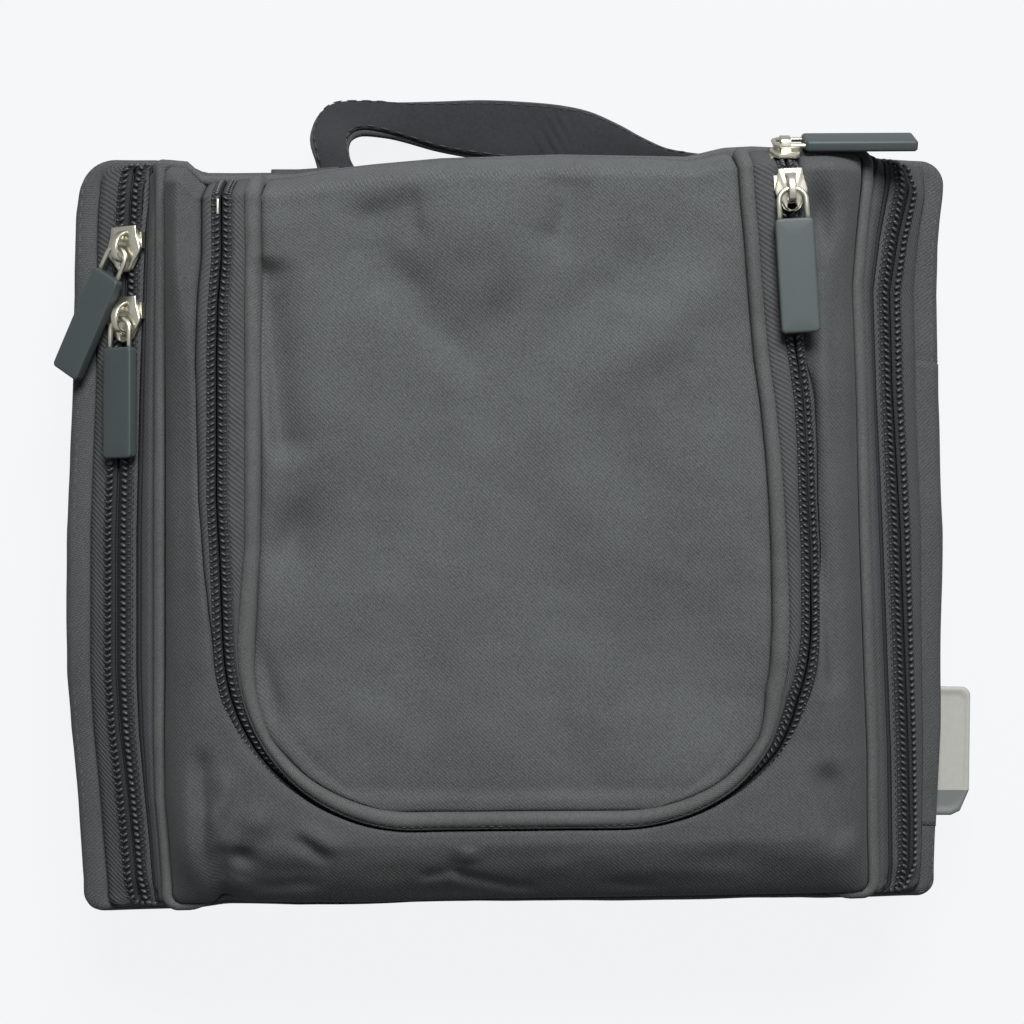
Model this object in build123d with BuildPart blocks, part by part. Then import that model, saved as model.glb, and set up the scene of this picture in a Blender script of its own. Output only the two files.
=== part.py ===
"""Toiletry bag with a zipped lid, a zipped front pocket, a carry handle and four zip sliders.

The bag lies on its back. +X is to its right, +Y towards its handle and +Z out of its front.
The origin is the middle of the flat back panel, on the surface that the bag lies on. Units are millimetres.
"""
from build123d import *
from dataclasses import dataclass, replace
from functools import lru_cache
from math import atan2, cos, degrees, radians, sin, tan
import os

# Overall size of the bag
bag_width = 240.0
bag_height = 205.0
bag_depth = 72.0
corner_radius = 14.0
back_corner = 11.0
front_corner = 12.0
cutting_room = 5.0

# Heights of the seams above the back, and how far each lies inside the widest outline
back_thickness = 4.0
back_inset = 8.0
back_drop = 6.5
back_seam_inset = 4.0
back_seam_drop = 3.0
back_piping_height = 3.0
belly_height = 36.0
rear_seam_height = 43.0
rear_seam_inset = 6.5
rear_seam_drop = 0.2
front_seam_height = 55.0
front_seam_inset = 23.0
front_seam_drop = 1.0
front_piping_height = 3.0
pocket_base_inset = 25.4
pocket_base_drop = 1.3

# Domed front of the pocket
brow_depth = 3.4
brow_inset = 29.6
brow_drop = 9.2
brow_growth = 0.4
face_inset = 36.0
face_top_drop = 7.1
face_bottom_drop = 16.0
face_growth = 0.2

# Fabric thicknesses
gusset_wall = 2.5
lining_wall = 0.6
pocket_wall = 2.2
tape_wall = 1.0
main_tape_wall = 1.6
back_piping_bulge = 1.5
front_piping_bulge = 1.3
flap_piping_bulge = 0.8
board_thickness = 1.2
board_margin = 0.5
divider_thickness = 2.5
mesh_thickness = 1.0
binding_thickness = 1.8

# Main zip, which parts the lid from the rear tray
split_height = 49.0
main_rail_gap = 1.2
main_rail_height = 1.5
main_rail_bulge = 2.0
hinge_margin = 32.0
hinge_depth = 6.5
lid_axis_clearance = 1.7
lid_axis_drop = 0.1

# Front pocket's zip, a letter U
pocket_left_margin = 42.5
pocket_right_margin = 48.0
pocket_lean_top_drop = 7.5
pocket_lean_degrees = 3.5
pocket_bottom_margin = 22.5
pocket_corner = 52.0
rail_half_gap = 0.6
rail_outer = 2.6
rail_bulge = 1.2
inner_tape_edge = 6.0
outer_tape_edge = 6.5
flap_piping_edge = 11.0
tape_sink = 0.2
flap_clearance = 0.3
flap_axis_clearance = 3.8
seam_gap = 0.1
flap_axis_drop = 0.5

# Handle
handle_span = 116.0
handle_rise = 27.0
handle_corner = 18.0
handle_width = 20.0
handle_end_radius = 5.0
handle_taper_length = 14.0
handle_strap_thickness = 2.4
handle_pad_thickness = 1.6
handle_height = 33.0
handle_droop_degrees = 80.0
handle_clearance = 0.3
anchor_width = 18.0
anchor_height = 16.0
anchor_thickness = 1.5

# Side pocket and tag
side_pocket_bottom_margin = 17.5
side_pocket_top_margin = 56.5
side_pocket_low = 9.0
side_pocket_wall = 0.8
hem_width = 4.0
hem_wall = 1.4
tag_length = 36.0
tag_margin = 41.0
tag_reach = 6.5
tag_thickness = 1.2
tag_height = 34.0
tag_corner = 5.0

# Inside of the rear tray and of the lid
mesh_side_margin = 35.0
mesh_bottom_margin = 17.5
mesh_top_margin = 72.5
binding_width = 8.0
loop_count = 4
loop_pitch = 42.0
loop_width = 32.0
loop_rise = 13.0
loop_corner = 6.0
loop_strap = 1.2
loop_base_overhang = 7.0
loop_top_margin = 29.5
elastic_width = 22.0
divider_pocket_side_margin = 40.0
divider_pocket_top_margin = 82.5
divider_pocket_bottom_margin = 22.5
divider_mesh_thickness = 0.8
divider_binding_thickness = 1.5
organiser_side_margin = 60.0
organiser_top_margin = 92.5
organiser_bottom_margin = 32.5

# Sliders and pulls
plate_gap = 0.35
plate_thickness = 1.0
foot_thickness = 0.75
web_clearance = 0.3
flange_thickness = 0.8
flange_clearance = 0.3
main_foot_start = 1.3
main_foot_end = 5.2
pocket_foot_end = 3.5
plate_front_share = 0.72
plate_shoulder_share = 0.1
plate_tail_share = 0.4
plate_corner_share = 0.2
window_share = 0.76
crown_front_share = 0.6
crown_back_share = 0.62
crown_front_lean = 0.6
crown_back_lean = 0.8
web_share = 0.45
foot_share = 0.7
crown_width = 2.6
crown_rise = 3.4
eye_radius = 1.1
eye_half_length = 1.6
wire_radius = 0.75
wire_half_width = 3.6
wire_bend = 1.4
wire_reach = 7.8
wire_sides = 6
wire_seat = 3.0
wire_fit = 0.05
wire_clearance = 0.4
top_pull_shift = 0.2
window_radius = 1.3
window_sides = 8
tab_length = 30.0
tab_width = 10.2
tab_thickness = 3.0
tab_corner = 0.7
tab_edge = 0.5
main_slider_length = 12.5
main_slider_width = 12.4
pocket_slider_length = 11.3
pocket_slider_width = 8.6
upper_main_slider_drop = 26.1
main_slider_spacing = 19.1
lower_pocket_slider_drop = 13.2
top_pocket_slider_inset = 6.0
upper_pull_turn_degrees = 28.0
upper_pull_lift_degrees = 4.0

half_width = bag_width / 2
half_height = bag_height / 2
back_seam_height = back_thickness + back_piping_height
pocket_base_height = front_seam_height + front_piping_height
cutting_height = bag_depth + cutting_room
beyond = 2 * bag_width


@dataclass(frozen=True)
class Section:
    """One level of the bag's outline: its height, edges and corner, and how each grows with the skin."""

    z: float
    side: float
    top: float
    bottom: float
    corner: float
    side_growth: float = 1.0
    top_growth: float = 1.0
    bottom_growth: float = 1.0
    lift: float = 0.0


def level(z, inset, drop, corner):
    """A level below the front pocket, where the skin grows sideways only."""
    return Section(z, half_width - inset, half_height - drop, drop - half_height, corner)


face_top = half_height - face_top_drop
base_top = half_height - pocket_base_drop
brow_angle = degrees(atan2(bag_depth - pocket_base_height, base_top - face_top))
top_growth = tan(radians(brow_angle / 2))


def front_level(depth, inset, bottom_drop, side_growth):
    """A level of the domed front, at a depth below the front face, where the skin also grows outwards."""
    z = bag_depth - depth
    top = face_top + depth / tan(radians(brow_angle))
    side = half_width - inset
    bottom = bottom_drop - half_height
    return Section(z, side, top, bottom, front_corner, side_growth, top_growth, side_growth, 1.0)


SECTIONS = [
    level(0, back_inset, back_drop, back_corner),
    level(back_thickness, back_seam_inset, back_seam_drop, corner_radius),
    level(belly_height, 0, 0, corner_radius),
    level(rear_seam_height, rear_seam_inset, rear_seam_drop, corner_radius),
    level(front_seam_height, front_seam_inset, front_seam_drop, front_corner),
    level(pocket_base_height, pocket_base_inset, pocket_base_drop, front_corner),
    front_level(brow_depth, brow_inset, brow_drop, brow_growth),
    front_level(0, face_inset, face_bottom_drop, face_growth),
]


@lru_cache(maxsize=None)
def envelope(grow):
    """The whole bag as one solid, with its skin grown outwards by grow."""
    with BuildPart() as body:
        for s in SECTIONS:
            top = s.top + s.top_growth * grow
            bottom = s.bottom - s.bottom_growth * grow
            plane = Plane(origin=(0, (top + bottom) / 2, s.z + s.lift * grow))
            width = 2 * (s.side + s.side_growth * grow)
            with BuildSketch(plane):
                RectangleRounded(width, top - bottom, s.corner + grow)
        loft(ruled=True)
    return body.part


@lru_cache(maxsize=None)
def slab(outer, low, high):
    """The bag's outline grown by outer, between two heights."""
    with BuildPart() as cut:
        add(envelope(outer))
        with BuildSketch(Plane.XY.offset(low)):
            Rectangle(beyond, beyond)
        extrude(amount=high - low, mode=Mode.INTERSECT)
    return cut.part


@lru_cache(maxsize=None)
def shell(outer, inner, low, high):
    """The bag's skin between two growths and two heights."""
    with BuildPart() as wall:
        add(slab(outer, low, high))
        add(envelope(inner), mode=Mode.SUBTRACT)
    return wall.part


lean = radians(pocket_lean_degrees)
pocket_left = half_width - pocket_left_margin
pocket_bottom = half_height - pocket_bottom_margin


def pocket_right(y):
    """Where the pocket zip's leaning right leg stands at a height up the bag."""
    return half_width - pocket_right_margin + (half_height - pocket_lean_top_drop - y) * tan(lean)


@lru_cache(maxsize=None)
def inside_zip(grow):
    """A tall prism over the pocket zip's U, grown by grow and open past the bag's top."""
    with BuildPart() as prism:
        with BuildSketch(Plane.XY.offset(split_height)):
            with BuildLine():
                Polyline(
                    (-pocket_left, bag_height),
                    (-pocket_left, -pocket_bottom),
                    (pocket_right(-pocket_bottom), -pocket_bottom),
                    (pocket_right(bag_height), bag_height),
                    close=True,
                )
            face = make_face()
            fillet(face.vertices().group_by(Axis.Y)[0], radius=pocket_corner)
            offset(amount=grow, kind=Kind.INTERSECTION, mode=Mode.REPLACE)
        extrude(amount=bag_depth)
    return prism.part


def along_zip(outer, inner, outer_edge, inner_edge, low):
    """The pocket's skin in a band beside its zip, from one distance off the zip's centre to another."""
    with BuildPart() as band:
        add(shell(outer, inner, low, cutting_height))
        add(inside_zip(outer_edge), mode=Mode.INTERSECT)
        add(inside_zip(inner_edge), mode=Mode.SUBTRACT)
    return band.part


hinge_half_width = half_width - hinge_margin


def hinge_block(low, high):
    """The space of the fabric hinge, in the middle of the bottom edge where the main zip leaves off."""
    with BuildPart() as block:
        with BuildSketch(Plane(origin=(0, -half_height, low))):
            Rectangle(2 * hinge_half_width, 2 * hinge_depth)
        extrude(amount=high - low)
    return block.part


# Rear tray, which lies on the table

with BuildPart() as back_panel:
    add(slab(0, 0, back_thickness))
back_panel.part.label = "back_panel"

with BuildPart() as rear_piping:
    add(shell(back_piping_bulge, -gusset_wall, back_thickness, back_seam_height))
rear_piping.part.label = "rear_piping"

with BuildPart() as rear_gusset:
    add(shell(0, -gusset_wall, back_seam_height, rear_seam_height))
rear_gusset.part.label = "rear_gusset"

floor_height = back_thickness + board_thickness
lining_top = floor_height + lining_wall

with BuildPart() as back_board:
    add(slab(-gusset_wall - board_margin, back_thickness, floor_height))
back_board.part.label = "back_board"

with BuildPart() as rear_lining:
    add(slab(-gusset_wall - seam_gap, floor_height, lining_top))
rear_lining.part.label = "rear_lining"

rear_rail_top = split_height - main_rail_gap / 2
rear_rail_base = rear_rail_top - main_rail_height

with BuildPart() as rear_zip_tape:
    add(shell(0, -main_tape_wall, rear_seam_height, rear_rail_base))
    add(hinge_block(rear_seam_height, split_height), mode=Mode.SUBTRACT)
rear_zip_tape.part.label = "rear_zip_tape"

with BuildPart() as rear_zip_coil:
    add(shell(main_rail_bulge, -main_rail_bulge, rear_rail_base, rear_rail_top))
    add(hinge_block(rear_seam_height, split_height), mode=Mode.SUBTRACT)
rear_zip_coil.part.label = "rear_zip_coil"

with BuildPart() as rear_hinge_panel:
    add(shell(0, -main_tape_wall, rear_seam_height, rear_rail_top))
    add(hinge_block(rear_seam_height, split_height), mode=Mode.INTERSECT)
rear_hinge_panel.part.label = "rear_hinge_panel"


def side_block(bottom, top, low, high):
    """The space beside the bag's right side, between two places along it and two heights."""
    with BuildPart() as block:
        with BuildSketch(Plane(origin=(half_width, (bottom + top) / 2, low))):
            Rectangle(half_width / 2, top - bottom)
        extrude(amount=high - low)
    return block.part


side_pocket_bottom = side_pocket_bottom_margin - half_height
side_pocket_top = half_height - side_pocket_top_margin

with BuildPart() as side_pocket:
    add(shell(side_pocket_wall, 0, side_pocket_low, rear_seam_height))
    add(side_block(side_pocket_bottom, side_pocket_top, 0, bag_depth), mode=Mode.INTERSECT)
side_pocket.part.label = "side_pocket"

with BuildPart() as side_pocket_hem:
    add(shell(hem_wall, 0, side_pocket_low, rear_seam_height))
    add(side_block(side_pocket_top, side_pocket_top + hem_width, 0, bag_depth), mode=Mode.INTERSECT)
side_pocket_hem.part.label = "side_pocket_hem"

with BuildPart() as side_tag:
    with BuildSketch(Plane(origin=(half_width, tag_margin - half_height, tag_height))):
        RectangleRounded(2 * tag_reach, tag_length, tag_corner)
    extrude(amount=tag_thickness)
    add(envelope(side_pocket_wall), mode=Mode.SUBTRACT)
side_tag.part.label = "side_tag"

mesh_width = bag_width - 2 * mesh_side_margin
mesh_bottom = mesh_bottom_margin - half_height
mesh_top = half_height - mesh_top_margin
mesh_middle = (mesh_bottom + mesh_top) / 2

with BuildPart() as mesh_pocket:
    with BuildSketch(Plane(origin=(0, mesh_middle, lining_top))):
        RectangleRounded(mesh_width, mesh_top - mesh_bottom, corner_radius / 2)
    extrude(amount=mesh_thickness)
mesh_pocket.part.label = "mesh_pocket"

with BuildPart() as mesh_pocket_binding:
    with BuildSketch(Plane(origin=(0, mesh_top + binding_width / 2, lining_top))):
        Rectangle(mesh_width, binding_width)
    extrude(amount=binding_thickness)
    fillet(mesh_pocket_binding.edges().filter_by(Axis.X).group_by(Axis.Z)[-1], radius=binding_thickness / 3)
mesh_pocket_binding.part.label = "mesh_pocket_binding"

loop_shift = loop_pitch * (loop_count - 1) / 2
loop_base_length = 2 * (loop_shift + loop_base_overhang) + loop_width
loop_plane = Plane(
    origin=(0, half_height - loop_top_margin + elastic_width / 2, lining_top),
    x_dir=(1, 0, 0),
    z_dir=(0, -1, 0),
)

with BuildPart() as elastic_loops:
    loop_places = [(i * loop_pitch - loop_shift, loop_rise / 2) for i in range(loop_count)]
    with BuildSketch(loop_plane) as webbing:
        with Locations(*loop_places):
            Rectangle(loop_width, loop_rise)
        chamfer(webbing.vertices().group_by(Axis.Y)[-1], length=loop_corner)
        with Locations((0, loop_strap / 2)):
            Rectangle(loop_base_length, loop_strap)
    extrude(amount=elastic_width)
    with BuildSketch(loop_plane) as gaps:
        with Locations(*loop_places):
            Rectangle(loop_width - 2 * loop_strap, loop_rise - 2 * loop_strap)
        chamfer(gaps.vertices().group_by(Axis.Y)[-1], length=loop_corner - loop_strap)
    extrude(amount=elastic_width, mode=Mode.SUBTRACT)
elastic_loops.part.label = "elastic_loops"

# Lid, the front section that swings on the bag's bottom edge

front_rail_base = split_height + main_rail_gap / 2
front_rail_top = front_rail_base + main_rail_height

with BuildPart() as front_zip_coil:
    add(shell(main_rail_bulge, -main_rail_bulge, front_rail_base, front_rail_top))
    add(hinge_block(split_height, front_seam_height), mode=Mode.SUBTRACT)
front_zip_coil.part.label = "front_zip_coil"

with BuildPart() as front_zip_tape:
    add(shell(0, -main_tape_wall, front_rail_top, front_seam_height))
    add(hinge_block(split_height, front_seam_height), mode=Mode.SUBTRACT)
front_zip_tape.part.label = "front_zip_tape"

with BuildPart() as front_hinge_panel:
    add(shell(0, -main_tape_wall, front_rail_base, front_seam_height))
    add(hinge_block(split_height, front_seam_height), mode=Mode.INTERSECT)
front_hinge_panel.part.label = "front_hinge_panel"

with BuildPart() as front_piping:
    add(shell(front_piping_bulge, -pocket_wall, front_seam_height, pocket_base_height))
front_piping.part.label = "front_piping"

with BuildPart() as front_panel:
    add(shell(0, -pocket_wall, pocket_base_height, cutting_height))
    add(inside_zip(outer_tape_edge), mode=Mode.SUBTRACT)
front_panel.part.label = "front_panel"

with BuildPart() as pocket_tape_outer:
    tape_inner_edge = rail_outer + seam_gap
    add(along_zip(-tape_sink, -tape_sink - tape_wall, outer_tape_edge, tape_inner_edge, pocket_base_height))
pocket_tape_outer.part.label = "pocket_tape_outer"

with BuildPart() as pocket_coil_outer:
    add(along_zip(rail_bulge, -rail_bulge, rail_outer, rail_half_gap, pocket_base_height))
pocket_coil_outer.part.label = "pocket_coil_outer"

divider_top = front_rail_top + divider_thickness

with BuildPart() as divider_panel:
    add(slab(-main_tape_wall, front_rail_top, divider_top))
divider_panel.part.label = "divider_panel"


def sewn_sheet(width, bottom, top, low, thickness):
    """A flat fabric pocket sewn to a panel, with its lower corners rounded."""
    with BuildPart() as sheet:
        with BuildSketch(Plane(origin=(0, (bottom + top) / 2, low))):
            area = Rectangle(width, top - bottom)
            fillet(area.vertices().group_by(Axis.Y)[0], radius=corner_radius / 2)
        extrude(amount=thickness)
    return sheet.part


divider_pocket_width = bag_width - 2 * divider_pocket_side_margin
divider_pocket_bottom = divider_pocket_bottom_margin - half_height
divider_pocket_top = half_height - divider_pocket_top_margin
divider_mesh_low = front_rail_top - divider_mesh_thickness
organiser_width = bag_width - 2 * organiser_side_margin
organiser_bottom = organiser_bottom_margin - half_height
organiser_top = half_height - organiser_top_margin

with BuildPart() as divider_pocket:
    add(
        sewn_sheet(
            divider_pocket_width,
            divider_pocket_bottom,
            divider_pocket_top,
            divider_mesh_low,
            divider_mesh_thickness,
        )
    )
divider_pocket.part.label = "divider_pocket"

with BuildPart() as divider_pocket_binding:
    with BuildSketch(Plane(origin=(0, divider_pocket_top + binding_width / 2, front_rail_top))):
        Rectangle(divider_pocket_width, binding_width)
    extrude(amount=-divider_binding_thickness)
divider_pocket_binding.part.label = "divider_pocket_binding"

with BuildPart() as organiser_pocket:
    add(sewn_sheet(organiser_width, organiser_bottom, organiser_top, divider_top, mesh_thickness))
organiser_pocket.part.label = "organiser_pocket"

with BuildPart() as organiser_binding:
    with BuildSketch(Plane(origin=(0, organiser_top + binding_width / 2, divider_top))):
        Rectangle(organiser_width, binding_width)
    extrude(amount=binding_thickness)
organiser_binding.part.label = "organiser_binding"

# Flap of the front pocket, which swings on the top seam

flap_base = pocket_base_height + flap_clearance

with BuildPart() as flap_panel:
    add(shell(0, -pocket_wall, flap_base, cutting_height))
    add(inside_zip(-flap_piping_edge - seam_gap), mode=Mode.INTERSECT)
flap_panel.part.label = "flap_panel"

with BuildPart() as flap_piping:
    add(along_zip(flap_piping_bulge, -pocket_wall, -inner_tape_edge, -flap_piping_edge, flap_base))
flap_piping.part.label = "flap_piping"

with BuildPart() as pocket_tape_inner:
    add(along_zip(-tape_sink, -tape_sink - tape_wall, -rail_outer, -inner_tape_edge, flap_base))
pocket_tape_inner.part.label = "pocket_tape_inner"

with BuildPart() as pocket_coil_inner:
    add(along_zip(rail_bulge, -rail_bulge, -rail_half_gap, -rail_outer, flap_base))
pocket_coil_inner.part.label = "pocket_coil_inner"

with BuildPart() as flap_lining:
    add(shell(-pocket_wall, -pocket_wall - lining_wall, flap_base, cutting_height))
    add(inside_zip(-inner_tape_edge), mode=Mode.INTERSECT)
flap_lining.part.label = "flap_lining"

# Handle, an arch that swings on two fabric anchors and droops to the table

handle_axis_y = half_height + anchor_thickness + handle_clearance + handle_end_radius
droop = radians(handle_droop_degrees)
handle_plane = Plane(
    origin=(0, handle_axis_y, handle_height),
    x_dir=(1, 0, 0),
    z_dir=(0, sin(droop), cos(droop)),
)
handle_side = Plane(origin=handle_plane.origin, x_dir=handle_plane.y_dir, z_dir=handle_plane.x_dir)
handle_thickness = handle_strap_thickness + handle_pad_thickness


def arch(skin):
    """The area under the handle's arch, out to skin beyond its middle line."""
    with BuildSketch() as area:
        width = handle_span + 2 * skin
        height = handle_rise + skin + handle_end_radius
        with Locations((0, height / 2 - handle_end_radius)):
            outline = Rectangle(width, height)
        fillet(outline.vertices().group_by(Axis.Y)[-1], radius=handle_corner + skin)
    return area.sketch


def handle_layer(outer, inner):
    """One layer of the handle, cut to its tapered side view with rounded ends."""
    with BuildPart() as layer:
        with BuildSketch(handle_plane.offset(-handle_width / 2)):
            add(arch(outer))
            add(arch(inner), mode=Mode.SUBTRACT)
        extrude(amount=handle_width)
        with BuildSketch(handle_side.offset(-handle_span)):
            with BuildLine():
                start = (0, -handle_end_radius)
                end = (0, handle_end_radius)
                half = handle_width / 2
                far = 2 * handle_rise
                taper = handle_taper_length
                Polyline(start, (taper, -half), (far, -half), (far, half), (taper, half), end)
                ThreePointArc(end, (-handle_end_radius, 0), start)
            make_face()
        extrude(amount=2 * handle_span, mode=Mode.INTERSECT)
    return layer.part


with BuildPart() as handle_strap:
    add(handle_layer(handle_thickness / 2, handle_thickness / 2 - handle_strap_thickness))
handle_strap.part.label = "handle_strap"

with BuildPart() as handle_pad:
    add(handle_layer(handle_pad_thickness - handle_thickness / 2, -handle_thickness / 2))
handle_pad.part.label = "handle_pad"


def handle_anchor(side):
    """The fabric tab that holds one end of the handle to the rear gusset."""
    with BuildPart() as anchor:
        low = handle_height - anchor_height / 2
        add(shell(anchor_thickness, 0, low, low + anchor_height))
        with BuildSketch(Plane(origin=(side * handle_span / 2, half_height, 0))):
            Rectangle(anchor_width, bag_height / 4)
        extrude(amount=bag_depth, mode=Mode.INTERSECT)
    return anchor.part


with BuildPart() as handle_anchor_left:
    add(handle_anchor(-1))
handle_anchor_left.part.label = "handle_anchor_left"

with BuildPart() as handle_anchor_right:
    add(handle_anchor(1))
handle_anchor_right.part.label = "handle_anchor_right"

# Zip sliders and their pulls. Each slider has its own plane: x across the zip, y along it, z outwards.


@dataclass(frozen=True)
class SliderFit:
    """How a slider sits on its zip: its size, the rails' height, and the side that carries its foot."""

    length: float
    width: float
    rail_height: float
    rail_inner: float
    rail_outer: float
    web_width: float
    web_slant: float
    foot_side: int


def slider_body(place, fit):
    """A slider: a shield-shaped plate with a window, a crown with an eye, a web, a foot and a flange."""
    across = Plane(origin=place.origin, x_dir=place.x_dir, z_dir=-place.y_dir)
    along = Plane(origin=place.origin, x_dir=place.y_dir, z_dir=place.x_dir)
    plate_low = fit.rail_height + plate_gap
    plate_top = plate_low + plate_thickness
    half_length = fit.length / 2
    half_body = fit.width / 2
    front = plate_front_share * half_body
    tail = plate_tail_share * half_body
    shoulder = -plate_shoulder_share * half_length
    side = fit.foot_side
    with BuildPart() as body:
        with BuildSketch(place.offset(plate_low)) as shield:
            with BuildLine():
                Polyline(
                    (-front, half_length),
                    (-half_body, shoulder),
                    (-tail, -half_length),
                    (tail, -half_length),
                    (half_body, shoulder),
                    (front, half_length),
                    close=True,
                )
            make_face()
            chamfer(shield.vertices(), length=plate_corner_share * half_body)
            with Locations((0, -window_share * half_length)):
                RegularPolygon(window_radius, window_sides, mode=Mode.SUBTRACT)
        extrude(amount=plate_thickness)
        crown_front = crown_front_share * half_length
        crown_back = crown_back_share * half_length
        crown_top = plate_top + crown_rise
        with BuildSketch(along.offset(-crown_width / 2)) as bridge:
            with BuildLine():
                Polyline(
                    (-crown_back, plate_low),
                    (-crown_back_lean * crown_back, crown_top),
                    (crown_front_lean * crown_front, crown_top),
                    (crown_front, plate_low),
                    close=True,
                )
            make_face()
            fillet(bridge.vertices().group_by(Axis.Y)[-1], radius=eye_radius)
            with Locations((0, plate_top + eye_radius)):
                SlotCenterToCenter(2 * eye_half_length, 2 * eye_radius, mode=Mode.SUBTRACT)
        extrude(amount=crown_width)
        with BuildSketch(across.offset(-web_share * half_length)):
            foot_top = -plate_low
            foot_low = foot_top - foot_thickness
            with BuildLine():
                Polyline(
                    (fit.web_slant * plate_low - fit.web_width / 2, plate_low),
                    (fit.web_slant * plate_low + fit.web_width / 2, plate_low),
                    (fit.web_slant * foot_low + fit.web_width / 2, foot_low),
                    (fit.web_slant * foot_low - fit.web_width / 2, foot_low),
                    close=True,
                )
            make_face()
        extrude(amount=2 * web_share * half_length)
        foot_inner = side * fit.rail_inner
        foot_outer = side * fit.rail_outer
        with BuildSketch(across.offset(-foot_share * half_length)):
            with Locations(((foot_inner + foot_outer) / 2, (foot_top + foot_low) / 2)):
                Rectangle(abs(foot_outer - foot_inner), foot_thickness)
            flange_place = (side * (half_body - flange_thickness / 2), (plate_low + flange_clearance) / 2)
            with Locations(flange_place):
                Rectangle(flange_thickness, plate_low - flange_clearance)
        extrude(amount=foot_share * half_length)
    return body.part


def pull_wire(place):
    """The bent wire of a pull, with its closed end on the plane's x axis and its arms towards -y."""
    end = -wire_reach - wire_seat
    with BuildPart() as wire:
        with BuildLine(place) as route:
            Polyline(
                (-wire_half_width, end),
                (-wire_half_width, -wire_bend),
                (wire_bend - wire_half_width, 0),
                (wire_half_width - wire_bend, 0),
                (wire_half_width, -wire_bend),
                (wire_half_width, end),
            )
        with BuildSketch(Plane(origin=route.line @ 0, x_dir=place.x_dir, z_dir=place.y_dir)):
            RegularPolygon(wire_radius, wire_sides)
        sweep(path=route.line, transition=Transition.RIGHT)
    return wire.part


def pull_tab(place):
    """The moulded tab of a pull: a bare bar with softened edges and two sockets for the wire."""
    middle = -wire_reach - tab_length / 2
    with BuildPart() as tab:
        with BuildSketch(place.offset(-tab_thickness / 2)) as bar:
            with Locations((0, middle)):
                Rectangle(tab_width, tab_length)
            chamfer(bar.vertices(), length=tab_corner)
        extrude(amount=tab_thickness)
        rims = tab.faces().sort_by(Axis(place.origin, place.z_dir))
        chamfer(rims[0].edges() + rims[-1].edges(), length=tab_edge)
        socket_plane = Plane(
            origin=place.from_local_coords((0, -wire_reach, 0)),
            x_dir=place.x_dir,
            z_dir=-place.y_dir,
        )
        with BuildSketch(socket_plane):
            with Locations((-wire_half_width, 0), (wire_half_width, 0)):
                RegularPolygon(wire_radius + wire_fit, wire_sides)
        extrude(amount=wire_seat, mode=Mode.SUBTRACT)
    return tab.part


# Main zip's sliders, on the sloping left side

slope_run = front_seam_inset - rear_seam_inset
slope_rise = front_seam_height - rear_seam_height
slope = atan2(slope_rise, slope_run)
split_side = half_width - rear_seam_inset - slope_run * (split_height - rear_seam_height) / slope_rise
slope_across = Vector(cos(slope), 0, sin(slope))
slope_out = Vector(-sin(slope), 0, cos(slope))

main_fit = SliderFit(
    length=main_slider_length,
    width=main_slider_width,
    rail_height=main_rail_bulge * sin(slope),
    rail_inner=main_foot_start,
    rail_outer=main_foot_end,
    web_width=(main_rail_gap - 2 * web_clearance) / sin(slope),
    web_slant=-1 / tan(slope),
    foot_side=1,
)
upper_main_y = half_height - upper_main_slider_drop
lower_main_y = upper_main_y - main_slider_spacing
upper_main_place = Plane(
    origin=(-split_side, upper_main_y, split_height), x_dir=slope_across, z_dir=slope_out
)
lower_main_place = Plane(
    origin=(-split_side, lower_main_y, split_height), x_dir=slope_across, z_dir=slope_out
)

with BuildPart() as main_slider_upper:
    add(slider_body(upper_main_place, main_fit))
main_slider_upper.part.label = "main_slider_upper"

with BuildPart() as main_slider_lower:
    add(slider_body(lower_main_place, main_fit))
main_slider_lower.part.label = "main_slider_lower"


def wire_height(fit):
    """How far a pull's wire lies off the zip's surface, resting in the crown's eye."""
    return fit.rail_height + plate_gap + plate_thickness + eye_radius


def hanging_pull(place, fit, turn, lift):
    """A pull's plane: in the slider's eye, turned about the outward axis and lifted at its end."""
    out = place.z_dir
    up = place.y_dir * cos(radians(turn)) + place.x_dir * sin(radians(turn))
    across = place.x_dir * cos(radians(turn)) - place.y_dir * sin(radians(turn))
    tilted = out * cos(radians(lift)) + up * sin(radians(lift))
    return Plane(origin=place.from_local_coords((0, 0, wire_height(fit))), x_dir=across, z_dir=tilted)


upper_main_pull = hanging_pull(upper_main_place, main_fit, upper_pull_turn_degrees, upper_pull_lift_degrees)
lower_main_pull = hanging_pull(lower_main_place, main_fit, 0, 0)

with BuildPart() as main_wire_upper:
    add(pull_wire(upper_main_pull))
main_wire_upper.part.label = "main_wire_upper"

with BuildPart() as main_tab_upper:
    add(pull_tab(upper_main_pull))
main_tab_upper.part.label = "main_tab_upper"

with BuildPart() as main_wire_lower:
    add(pull_wire(lower_main_pull))
main_wire_lower.part.label = "main_wire_lower"

with BuildPart() as main_tab_lower:
    add(pull_tab(lower_main_pull))
main_tab_lower.part.label = "main_tab_lower"

# Pocket zip's sliders, one on the right leg and one on the top edge

pocket_web = 2 * (rail_half_gap - web_clearance)
leg_fit = SliderFit(
    length=pocket_slider_length,
    width=pocket_slider_width,
    rail_height=rail_bulge,
    rail_inner=pocket_web / 2,
    rail_outer=pocket_foot_end,
    web_width=pocket_web,
    web_slant=0.0,
    foot_side=-1,
)
edge_fit = replace(leg_fit, foot_side=1)
lower_pocket_y = half_height - lower_pocket_slider_drop
lower_pocket_place = Plane(
    origin=(pocket_right(lower_pocket_y), lower_pocket_y, bag_depth),
    x_dir=(cos(lean), sin(lean), 0),
    z_dir=(0, 0, 1),
)
brow = radians(brow_angle)
edge_out = Vector(0, sin(brow), cos(brow))
edge_y = base_top - cos(brow) * top_pocket_slider_inset
edge_z = pocket_base_height + sin(brow) * top_pocket_slider_inset
edge_up = Vector(tan(lean) * cos(brow), -cos(brow), sin(brow)).normalized()
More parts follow.
